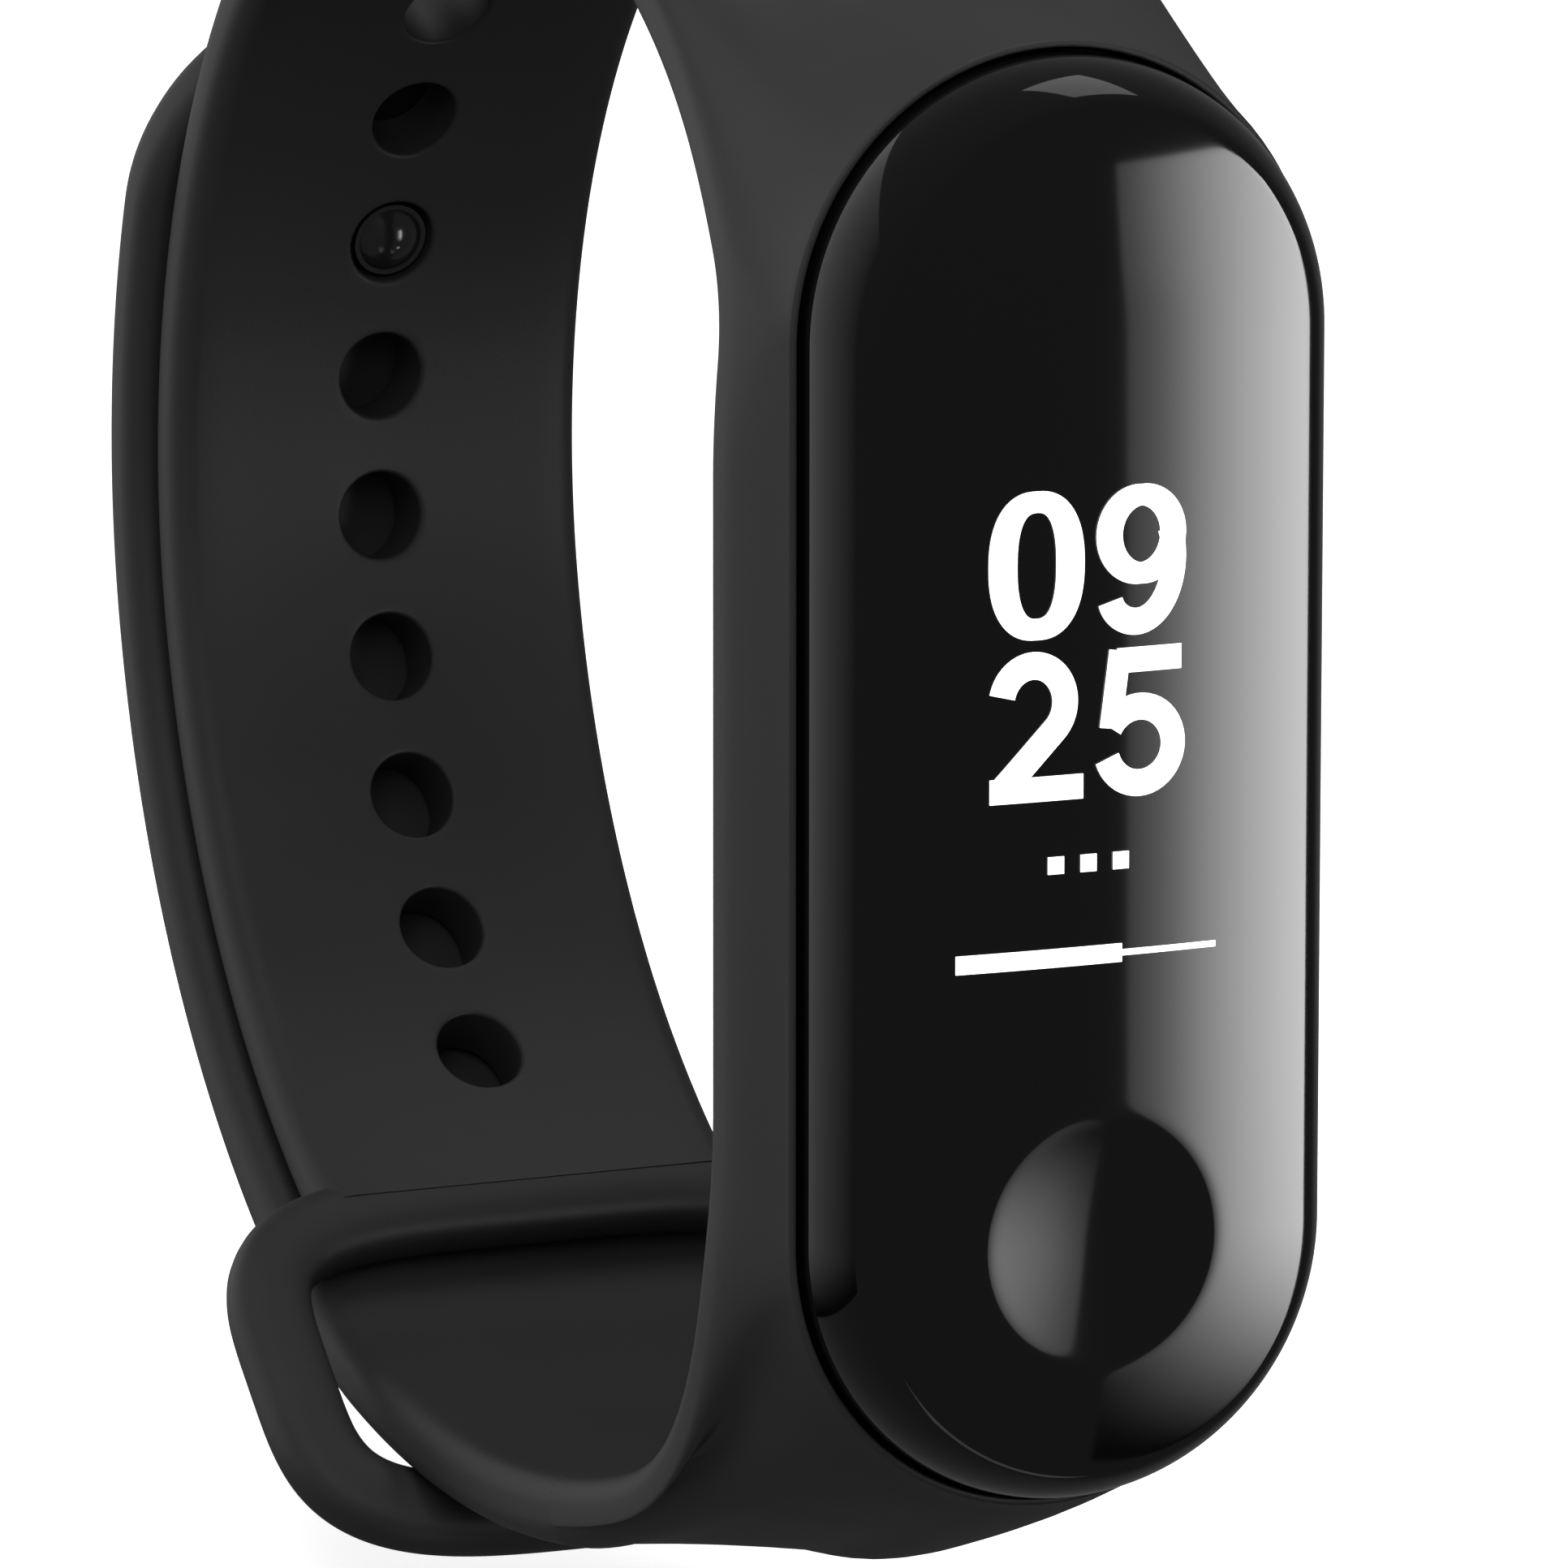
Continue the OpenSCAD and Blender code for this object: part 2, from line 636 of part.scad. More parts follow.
module motor_shaft() {
    color("#8d9094") in_motor() translate([0, 0, 0.8]) cylinder(r = shaft_r, h = motor_l + weight_l - 0.3);
}

module motor_weight() {
    weight_r = motor_d / 2 - 0.1;
    color("#6e6a64") in_motor() translate([0, 0, motor_l + 0.4]) difference() {
        union() {
            rotate_extrude(angle = 180) square([weight_r, weight_l]);
            cylinder(r = shaft_r + 0.4, h = weight_l);
        }
        translate([0, 0, -1]) cylinder(r = shaft_r, h = weight_l + 2);
    }
}

module sensor_board() {
    color("#1f5c33") in_capsule() translate([0, 0, floor_z]) slab(2 * window_r + 1.4, 2 * window_r + 3, sensor_board_t);
}

// A light part on the sensor board, looking out through the window
module light_part(x, size) {
    in_capsule() translate([x, 0, floor_z - size[2]]) slab(size[0], size[1], size[2]);
}

module sensor_led_left() { color("#35c46a") light_part(-2.9, [1, 1.6, 0.5]); }
module sensor_led_right() { color("#35c46a") light_part(2.9, [1, 1.6, 0.5]); }
module photodiode() { color("#2b3a55") light_part(0, [2.4, 2.2, 0.6]); }

module light_barrier() {
    barrier_h = floor_z - bump_z - window_t;
    color("#101010") in_capsule() translate([0, 0, floor_z - barrier_h]) difference() {
        slab(3.8, 3.6, barrier_h);
        translate([0, 0, -1]) slab(2.8, 2.6, barrier_h + 2);
    }
}

module sensor_window() {
    color("#203028") in_capsule() translate([0, 0, bump_z]) cylinder(r = window_r, h = window_t);
}

module charge_pin(x) {
    color("#c9a227") in_capsule() translate([x * pin_x, pin_y, 0]) {
        translate([0, 0, back_z]) cylinder(r = pin_r, h = floor_z + seal_t - back_z);
        translate([0, 0, floor_z + seal_t]) cylinder(r = pin_r + 0.5, h = 0.4);
        translate([0, 0, floor_z + seal_t + 0.4]) cylinder(r = 0.5, h = board_z - floor_z - seal_t - 0.4);
    }
}

module charge_pin_left() { charge_pin(-1); }
module charge_pin_right() { charge_pin(1); }

module pin_seal(x) {
    color("#704030") in_capsule() translate([x * pin_x, pin_y, floor_z]) difference() {
        cylinder(r = pin_r + 0.5, h = seal_t);
        translate([0, 0, -1]) cylinder(r = pin_r, h = seal_t + 2);
    }
}

module pin_seal_left() { pin_seal(-1); }
module pin_seal_right() { pin_seal(1); }

strap_frame();
band_upper();
band_lower();
strap_loop();
tail_belly();
tail_dip();
tail_rear();
tail_tip();
stud_pin();
stud_cap();
front_lens();
lens_gasket();
display_panel();
display_flex();
touch_electrode();
touch_contact();
inner_frame();
antenna();
capsule_shell();
main_board();
radio_chip();
memory_chip();
motion_chip();
board_connector();
battery_cell();
battery_tab();
motor_case();
motor_shaft();
motor_weight();
sensor_board();
sensor_led_left();
sensor_led_right();
photodiode();
light_barrier();
sensor_window();
charge_pin_left();
charge_pin_right();
pin_seal_left();
pin_seal_right();
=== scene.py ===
"""A fitness tracker band: a glossy pill-shaped capsule in a soft one-piece strap, closed on its loop.

Every length in the classes is in millimetres and every mesh is written in metres, in the CAD model's frame:
X along the wrist's axis, -Y out of the capsule's front, Z up, with the origin in the middle of the wrist.
"""
import json
import logging
import math
from dataclasses import dataclass, field
from enum import Enum

import bmesh
import bpy
import numpy as np
from mathutils import Matrix, Vector


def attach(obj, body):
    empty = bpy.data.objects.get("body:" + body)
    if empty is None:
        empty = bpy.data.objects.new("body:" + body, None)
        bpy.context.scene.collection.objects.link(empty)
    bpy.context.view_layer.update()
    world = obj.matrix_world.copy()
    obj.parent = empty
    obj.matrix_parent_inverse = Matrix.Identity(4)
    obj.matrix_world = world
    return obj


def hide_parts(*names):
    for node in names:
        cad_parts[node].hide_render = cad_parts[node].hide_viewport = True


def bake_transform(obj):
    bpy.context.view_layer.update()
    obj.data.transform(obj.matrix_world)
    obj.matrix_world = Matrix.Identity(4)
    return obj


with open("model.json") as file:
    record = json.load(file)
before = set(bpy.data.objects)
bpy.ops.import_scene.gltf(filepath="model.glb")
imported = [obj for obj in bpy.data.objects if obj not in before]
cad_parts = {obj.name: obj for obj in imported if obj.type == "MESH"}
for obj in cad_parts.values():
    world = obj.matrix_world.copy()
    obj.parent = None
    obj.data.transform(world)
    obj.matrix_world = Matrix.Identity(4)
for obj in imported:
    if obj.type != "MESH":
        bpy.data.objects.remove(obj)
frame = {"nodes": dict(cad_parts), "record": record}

MM = 0.001
MERGE = 2e-7
TINY = 1e-6
WHITE = (1, 1, 1, 1)
SLOW_DETAIL, GRAIN_DETAIL = 3.0, 2.0
OVAL_POINTS, LEVEL_POINTS, ROUND_STEPS = 40, 9, 72
LOG = logging.getLogger("tracker_band")
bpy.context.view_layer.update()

Array = np.ndarray
Pair = tuple[float, float]


# ---------- shared geometry ----------


def way(angle: Array | float) -> Array:
    """Unit vector in the YZ plane at an angle in degrees, as (cosine, sine)."""
    turn = np.radians(angle)
    return np.stack([np.cos(turn), np.sin(turn)], axis=-1)


def carry_on(centre: Array, radius: float, new_radius: float, angle: float) -> Array:
    """Centre of an arc that carries on smoothly from another.

    Both centres and the shared end lie on one line, so the new centre is the old one moved along it by the
    old radius less the new.

    Args:
        centre: centre of the arc that ends.
        radius: its radius.
        new_radius: radius of the arc that follows.
        angle: angle in degrees at which one hands over to the other.

    Returns:
        The new centre as (y, z).
    """
    return np.asarray(centre) + (radius - new_radius) * way(angle)


def touching(line_angle: float, line_at: float, radius: float, centre: Array, big: float, side: int) -> Array:
    """Centre of an arc that touches a straight line and, from inside, a larger circle.

    The centre is radius short of the line and big - radius from the circle's centre, so it is where a line
    and a circle cross: one step along the line's normal, then the square root of what is left, sideways.

    Args:
        line_angle: angle in degrees of the line's outward normal.
        line_at: the line's distance from the origin.
        radius: radius of the arc.
        centre: centre of the larger circle.
        big: radius of the larger circle.
        side: 1 for the upper crossing and -1 for the lower one.

    Returns:
        The centre as (y, z).
    """
    along = line_at - radius - float(np.dot(centre, way(line_angle)))
    across = math.sqrt((big - radius) ** 2 - along**2)
    return np.asarray(centre) + along * way(line_angle) + side * across * way(line_angle - 90)


def heading(start: Array, end: Array) -> float:
    """Angle in degrees of the line from one point to another."""
    return math.degrees(math.atan2(end[1] - start[1], end[0] - start[0]))


def smooth(t: Array | float) -> Array:
    """Eases from 0 to 1: three t squared less two t cubed, with t held between 0 and 1."""
    t = np.clip(t, 0.0, 1.0)
    return t * t * (3 - 2 * t)


def closed_turn(steps: int) -> Array:
    """Angles of one whole turn in even steps, without its last, which is its first again."""
    return np.linspace(0, 2 * math.pi, steps + 1)[:-1]


def squared_circle(turn: Array, power: float) -> Array:
    """Points of a superellipse one in radius: cosine and sine to a power, each keeping its sign."""
    circle = np.stack([np.cos(turn), np.sin(turn)], -1)
    return np.sign(circle) * np.abs(circle) ** power


@dataclass(frozen=True)
class Arc:
    """One stretch of the ring's inner surface, from start to stop in degrees about its centre."""

    centre: Pair
    radius: float
    start: float
    stop: float

    @property
    def length(self) -> float:
        """Length along the arc."""
        return abs(math.radians(self.stop - self.start)) * self.radius

    def at(self, share: Array) -> tuple[Array, Array, Array]:
        """Points, outward normals and directions of travel at shares of the arc from 0 to 1."""
        angle = self.start + (self.stop - self.start) * share
        out = way(angle)
        return np.asarray(self.centre) + self.radius * out, out, way(angle + 90)


@dataclass(frozen=True)
class Line:
    """One straight stretch of the ring's inner surface, whose outward normal is at an angle in degrees."""

    begin: Pair
    end: Pair
    normal: float

    @property
    def length(self) -> float:
        """Length along the line."""
        return float(np.linalg.norm(np.subtract(self.end, self.begin)))

    def at(self, share: Array) -> tuple[Array, Array, Array]:
        """Points, outward normals and directions of travel at shares of the line from 0 to 1."""
        step = np.subtract(self.end, self.begin)
        point = np.asarray(self.begin) + share[..., None] * step
        out = np.broadcast_to(way(self.normal), point.shape)
        return point, out, np.broadcast_to(step / self.length, point.shape)


class RingPath:
    """Arcs and lines end to end, measured by the distance along the inner surface."""

    def __init__(self, *stretches: Arc | Line) -> None:
        """Keeps the stretches and the distance at which each begins."""
        self.stretches = stretches
        self.starts = np.concatenate([[0.0], np.cumsum([s.length for s in stretches])])
        self.length = float(self.starts[-1])

    def at(self, s: Array | float) -> tuple[Array, Array, Array]:
        """Points, outward normals and directions of travel at distances along the path.

        Args:
            s: distances in millimetres, of any shape.

        Returns:
            Three arrays with a last axis of (y, z).
        """
        s = np.asarray(s, float)
        which = np.clip(np.searchsorted(self.starts, s, side="right") - 1, 0, len(self.stretches) - 1)
        found = [np.zeros(s.shape + (2,)) for _ in range(3)]
        for i, stretch in enumerate(self.stretches):
            here = which == i
            for store, value in zip(found, stretch.at((s[here] - self.starts[i]) / stretch.length)):
                store[here] = value
        return found[0], found[1], found[2]

    def place(self, s: Array, x: Array, d: Array) -> Array:
        """Points at distance s along the path, x across it and d out from its inner surface.

        Returns:
            The points as (x, y, z) in millimetres, in the broadcast shape of the three.
        """
        s, x, d = np.broadcast_arrays(np.asarray(s, float), np.asarray(x, float), np.asarray(d, float))
        point, out, _ = self.at(s)
        yz = point + d[..., None] * out
        return np.concatenate([x[..., None], yz], axis=-1)


@dataclass(frozen=True)
class RingSizes:
    """The sizes that every part of the strap shares."""

    ring_r: float = 25.4
    shoulder_r: float = 32.0
    shoulder_from: float = 109.0
    low_r: float = 29.4
    low_from: float = -15.0
    nose_r: float = 5.0
    chin_r: float = 15.0
    dip_r: float = 16.0
    dip_from: float = -63.0
    belly_r: float = 38.0
    belly_from: float = -78.0
    strap_t: float = 2.4
    layer_gap: float = 0.35
    edge_r: float = 0.9
    band_split: float = 112.0
    tail_split: float = -103.0
    loop_at: float = -60.5
    stud_at: float = 14.0
    hole_pitch: float = 5.05
    capsule_lean: float = 3.8
    rim_y: float = -28.6
    rim_z: float = -1.0
    frame_depth: float = 4.9

    @property
    def shoulder_c(self) -> Array:
        """Centre of the shoulder's arc."""
        return carry_on(np.zeros(2), self.ring_r, self.shoulder_r, self.shoulder_from)

    @property
    def low_c(self) -> Array:
        """Centre of the lower rear arc."""
        return carry_on(np.zeros(2), self.ring_r, self.low_r, self.low_from)

    @property
    def tail_step(self) -> float:
        """Distance from the holed strap's inner surface to the tail's."""
        return self.strap_t + self.layer_gap

    @property
    def dip_c(self) -> Array:
        """Centre of the tail's dip through the loop."""
        return carry_on(self.low_c, self.low_r + self.tail_step, self.dip_r, self.dip_from)

    @property
    def belly_c(self) -> Array:
        """Centre of the belly's arc."""
        return carry_on(self.dip_c, self.dip_r, self.belly_r, self.belly_from)

    @property
    def front_angle(self) -> float:
        """Angle of the capsule's front normal."""
        return 180 - self.capsule_lean

    def band_path(self) -> RingPath:
        """The holed strap's inner surface, from the loop up to the frame."""
        return RingPath(
            Arc(tuple(self.low_c), self.low_r, self.loop_at, self.low_from),
            Arc((0.0, 0.0), self.ring_r, self.low_from, self.shoulder_from),
            Arc(tuple(self.shoulder_c), self.shoulder_r, self.shoulder_from, self.band_split),
        )

    def frame_path(self) -> RingPath:
        """The frame's inner surface, from its top end down the front to its lower end."""
        inner = float(np.dot((self.rim_y, self.rim_z), way(self.front_angle))) - self.frame_depth
        nose_c = touching(self.front_angle, inner, self.nose_r, self.shoulder_c, self.shoulder_r, 1)
        chin_c = touching(self.front_angle, inner, self.chin_r, self.belly_c, self.belly_r, -1)
        nose_to, chin_to = heading(self.shoulder_c, nose_c), heading(self.belly_c, chin_c)
        lower = self.front_angle - 360
        return RingPath(
            Arc(tuple(self.shoulder_c), self.shoulder_r, self.band_split, nose_to),
            Arc(tuple(nose_c), self.nose_r, nose_to, self.front_angle),
            Line(tuple(nose_c + self.nose_r * way(self.front_angle)),
                 tuple(chin_c + self.chin_r * way(self.front_angle)), self.front_angle),
            Arc(tuple(chin_c), self.chin_r, lower, chin_to),
            Arc(tuple(self.belly_c), self.belly_r, chin_to, self.tail_split),
        )

    def tail_path(self, tip: float) -> RingPath:
        """The tail's inner surface, from the frame's lower end through the loop to an angle at its tip."""
        return RingPath(
            Arc(tuple(self.belly_c), self.belly_r, self.tail_split, self.belly_from),
            Arc(tuple(self.dip_c), self.dip_r, self.belly_from, self.dip_from),
            Arc(tuple(self.low_c), self.low_r + self.tail_step, self.dip_from, self.low_from),
            Arc((0.0, 0.0), self.ring_r + self.tail_step, self.low_from, tip),
        )

    @property
    def lean(self) -> Pair:
        """Cosine and sine of the capsule's lean."""
        turn = math.radians(self.capsule_lean)
        return math.cos(turn), math.sin(turn)

    def from_capsule(self, points: Array) -> Array:
        """Moves points from the capsule's own axes to the ring's.

        The capsule's z runs out of its front and its y up its length, from the middle of the rim's plane.

        Args:
            points: (..., 3) in the capsule's axes.

        Returns:
            The same points in the ring's axes.
        """
        c, s = self.lean
        x, y, z = points[..., 0], points[..., 1], points[..., 2]
        return np.stack([x, self.rim_y + y * s - z * c, self.rim_z + y * c + z * s], axis=-1)

    def turn_from_capsule(self, vectors: Array) -> Array:
        """Turns directions from the capsule's axes to the ring's, without moving them."""
        return self.from_capsule(vectors) - np.array([0.0, self.rim_y, self.rim_z])

    def to_capsule(self, y: Array, z: Array) -> tuple[Array, Array]:
        """Height along the capsule and distance out of its front, for points of the YZ plane."""
        c, s = self.lean
        dy, dz = y - self.rim_y, z - self.rim_z
        return dy * s + dz * c, -dy * c + dz * s


RING = RingSizes()


# ---------- meshes ----------


def put_in_scene(name: str, data: bpy.types.ID) -> bpy.types.Object:
    """Makes an object of a mesh, a light or a camera and links it to the scene."""
    made = bpy.data.objects.new(name, data)
    bpy.context.scene.collection.objects.link(made)
    return made


def grid_faces(rows: int, cols: int, close_rows: bool = False, close_cols: bool = False) -> Array:
    """Quads of a grid of points held row by row.

    Args:
        rows: number of rows.
        cols: number of columns.
        close_rows: joins the last row to the first.
        close_cols: joins the last column to the first.

    Returns:
        An array of four point numbers for each quad, in row order.
    """
    r = np.arange(rows if close_rows else rows - 1)
    c = np.arange(cols if close_cols else cols - 1)
    r, c = np.meshgrid(r, c, indexing="ij")
    r2, c2 = (r + 1) % rows, (c + 1) % cols
    quads = np.stack([r * cols + c, r2 * cols + c, r2 * cols + c2, r * cols + c2], axis=-1)
    return quads.reshape(-1, 4)


class Patchwork:
    """Patches of surface in millimetres, gathered and then sewn into one closed mesh."""

    def __init__(self) -> None:
        """Starts with no patches."""
        self.points: list[Array] = []
        self.faces: list[Array] = []
        self.count = 0

    def add(self, points: Array, close_rows: bool = False, close_cols: bool = False,
            keep: Array | None = None) -> None:
        """Adds a grid of points as a patch.

        Args:
            points: (rows, columns, 3) in millimetres.
            close_rows: joins the last row to the first.
            close_cols: joins the last column to the first.
            keep: for each quad, whether it stays.
        """
        rows, cols = points.shape[:2]
        quads = grid_faces(rows, cols, close_rows, close_cols)
        if keep is not None:
            quads = quads[keep.reshape(-1)]
        self.points.append(points.reshape(-1, 3))
        self.faces.append(quads + self.count)
        self.count += rows * cols

    def sew(self, name: str, sharp: float = 40.0) -> bpy.types.Object:
        """Makes the mesh: shared points merged, open ends capped, faces outwards and smooth.

        Args:
            name: the piece's name.
            sharp: edges that turn more than this many degrees stay sharp.

        Returns:
            The new object, at the origin.
        """
        mesh = bpy.data.meshes.new(name)
        mesh.from_pydata((np.concatenate(self.points) * MM).tolist(), [], np.concatenate(self.faces).tolist())
        work = bmesh.new()
        work.from_mesh(mesh)
        bmesh.ops.remove_doubles(work, verts=work.verts, dist=MERGE)
        bmesh.ops.dissolve_degenerate(work, edges=work.edges, dist=MERGE)
        open_edges = [e for e in work.edges if e.is_boundary]
        if open_edges:
            bmesh.ops.holes_fill(work, edges=open_edges, sides=0)
        bmesh.ops.recalc_face_normals(work, faces=work.faces)
        limit = math.radians(sharp)
        for edge in work.edges:
            edge.smooth = not (edge.is_manifold and edge.calc_face_angle(0.0) > limit)
        for face in work.faces:
            face.smooth = True
        left_open = sum(1 for e in work.edges if e.is_boundary)
        work.to_mesh(mesh)
        work.free()
        LOG.info("%s: %d points, %d faces, %d open edges", name, len(mesh.vertices), len(mesh.polygons),
                 left_open)
        return put_in_scene(name, mesh)


def corner_arc(steps: int, radius: float) -> tuple[Array, Array]:
    """A quarter round: how far in from the edge and down from the face, from the face round to the side."""
    turn = np.linspace(0, math.pi / 2, steps + 1)
    return radius * (1 - np.sin(turn)), radius * (1 - np.cos(turn))


# ---------- strap ----------


@dataclass
class StrapMoulding:
    """The frame and the holed strap, as one moulding."""

    ring: RingSizes = RING
    root_half: float = 8.7
    band_half: float = 7.85
    taper: float = 11.0
    cell_half: float = 2.45
    cell_steps: int = 10
    cell_blend: tuple[float, ...] = (0, 0.3, 0.58, 0.82, 1.0)
    plain_steps: tuple[int, int] = (8, 32)
    hole_r: float = 1.55
    lip_r: float = 0.14
    lip_steps: int = 4
    holes_each_way: int = 6
    arc_steps: int = 5
    flat_steps: int = 5
    rim_inner: float = 9.1
    rim_outer: float = 9.36
    rim_round: float = 0.12
    inner_round: float = 0.08
    rim_steps: tuple[int, int] = (3, 4)
    wall_z: float = -1.2
    ledge_r: float = 8.1
    ledge_z: float = -3.6
    floor_z: float = -7.05
    opening_soft: float = 1.2
    pill_half: float = 14.5
    side_half: float = 10.1
    tail_half: float = 8.5
    widen: float = 21.5
    widen_power: float = 1.35
    end_share: float = 0.62
    side_steps: tuple[int, ...] = (26, 14, 40, 18, 26)
    skin_steps: int = 26
    inner_steps: int = 9
    fine_steps: int = 4000
    landing: float = 2.6
    spread: float = 0.25
    spread_gain: float = 2.5
    low_spread: float = 0.55
    low_swell: float = 32.0
    path: RingPath = field(init=False)
    band: RingPath = field(init=False)

    def __post_init__(self) -> None:
        """Works out the two paths."""
        self.path = self.ring.frame_path()
        self.band = self.ring.band_path()

    # -- the holed strap --

    def half_width(self, s: Array) -> Array:
        """Half the holed strap's width: wide at the frame, easing to its own width over the taper."""
        to_frame = self.band.length - s
        return self.root_half + (self.band_half - self.root_half) * smooth(to_frame / self.taper)

    def section(self, half: Array) -> tuple[Array, Array]:
        """The strap's outline outside the hole cells, from the outer face round the edge to the inner face.

        Each point is x from the middle and d from the inner surface: straight across the face, a quarter
        round, straight down, a quarter round and back.

        Args:
            half: half widths, one for each station.

        Returns:
            x of shape (stations, points) and d of shape (points,).
        """
        r, t = self.ring.edge_r, self.ring.strap_t
        inset, drop = corner_arc(self.arc_steps, r)
        share = np.linspace(0, 1, self.flat_steps + 1)[:-1]
        face = self.cell_half + share[None, :] * (half[:, None] - r - self.cell_half)
        edge = half[:, None] - inset[None, :]
        x = np.concatenate([face, edge, edge[:, ::-1], face[:, ::-1]], axis=1)
        top = np.concatenate([np.full(self.flat_steps, t), t - drop])
        return x, np.concatenate([top, (t - top)[::-1]])

    def hole_places(self) -> Array:
        """Distances along the strap at which the holes are, from the loop up."""
        ring = self.ring
        stud = self.band.starts[1] + math.radians(ring.stud_at - ring.low_from) * ring.ring_r
        return stud + ring.hole_pitch * np.arange(-self.holes_each_way, self.holes_each_way + 1)

    def hole_patch(self, s: float) -> Array:
        """One hole's cell: a square drawn in to a round mouth, down the bore and out to a square again.

        The outline's points are matched one to one to the circle's by their angle, and the rings between
        are blends of the two.

        Args:
            s: distance along the strap of the hole's centre.

        Returns:
            The cell's points, (rings, points round, 3).
        """
        n, half_s, half_x = self.cell_steps, self.ring.hole_pitch / 2, self.cell_half
        run = np.linspace(-1, 1, n + 1)[:-1]
        one = np.ones(n)
        square = np.concatenate([
            np.stack([run, -one], -1), np.stack([one, run], -1),
            np.stack([-run, one], -1), np.stack([-one, -run], -1)]) * (half_s, half_x)
        turn = np.arctan2(square[:, 1] / half_x, square[:, 0] / half_s)
        circle = np.stack([np.cos(turn), np.sin(turn)], -1)
        mouth = self.hole_r + self.lip_r
        blend = np.array(self.cell_blend)[:, None, None]
        rings = square * (1 - blend) + circle * mouth * blend
        inset, drop = corner_arc(self.lip_steps, self.lip_r)
        lip = circle * (self.hole_r + inset[1:, None, None])
        flat = np.concatenate([rings, lip, lip[::-1], rings[::-1]])
        t = self.ring.strap_t
        top = np.concatenate([np.full(len(blend), t), t - drop[1:]])
        d = np.concatenate([top, (t - top)[::-1]])[:, None]
        return self.band.place(s + flat[..., 0], flat[..., 1], np.broadcast_to(d, flat.shape[:2]))

    def stations(self) -> Array:
        """Distances along the strap of every row: fine steps across each cell and even ones past the last."""
        places, half = self.hole_places(), self.ring.hole_pitch / 2
        cells = np.linspace(places[0] - half, places[-1] + half, len(places) * self.cell_steps + 1)
        before = np.linspace(0, cells[0], self.plain_steps[0] + 1)[:-1]
        after = np.linspace(cells[-1], self.band.length, self.plain_steps[1] + 1)[1:]
        return np.concatenate([before, cells, after])

    def add_band(self, work: Patchwork) -> None:
        """Adds the holed strap: both edges swept along it, the hole cells, and plain strips past them."""
        s = self.stations()
        x, d = self.section(self.half_width(s))
        for side in (1, -1):
            work.add(self.band.place(s[:, None], side * x, d[None, :]))
        places, half = self.hole_places(), self.ring.hole_pitch / 2
        for place in places:
            work.add(self.hole_patch(place), close_cols=True)
        across = np.linspace(-self.cell_half, self.cell_half, self.cell_steps + 1)
        for part in (s[s <= places[0] - half + TINY], s[s >= places[-1] + half - TINY]):
            for depth in (0.0, self.ring.strap_t):
                work.add(self.band.place(part[:, None], across[None, :], depth))

    # -- the frame --

    def side_width(self, u: Array) -> Array:
        """Half the frame's width: the strap's at each end, easing out to the flank's over the widening."""
        def ease(run: Array) -> Array:
            """A half cosine of the run's share, held back at first by a power."""
            return (1 - np.cos(math.pi * np.clip(run / self.widen, 0, 1) ** self.widen_power)) / 2

        top = self.root_half + (self.side_half - self.root_half) * ease(u)
        low = self.tail_half + (self.side_half - self.tail_half) * ease(self.path.length - u)
        return np.minimum(top, low)

    def half_outline(self) -> dict[str, Array]:
        """The frame's edge on the right, from the middle of the top end to the middle of the lower end.

        It runs across the top end, round its edge, down the side and back across the lower end. Each point
        carries where the outer skin ends, which way it arrives, and the matching place on the capsule's pill.

        Returns:
            Arrays over the points. u, x and d place the skin's end. group is 0 at the top, 1 on the side and
            2 at the bottom. arrive is the skin's turn there, from 0 along the strap to 1 across the edge.
            fall is how far round the strap's edge it is, from 0 on the face to 1 on the side. dx, dy and cy
            are the direction out from the pill's middle line and the height on it.
        """
        r, t, length = self.ring.edge_r, self.ring.strap_t, self.path.length
        inset, drop = corner_arc(self.arc_steps, r)

        def across(half: float) -> tuple[Array, Array]:
            """x and d across one end, from the middle to the edge."""
            middle = np.linspace(0, self.cell_half, self.cell_steps // 2 + 1)[:-1]
            face = self.cell_half + np.linspace(0, 1, self.flat_steps + 1)[:-1] * (half - r - self.cell_half)
            x = np.concatenate([middle, face, half - inset])
            return x, np.concatenate([np.full(len(middle) + len(face), t), t - drop])

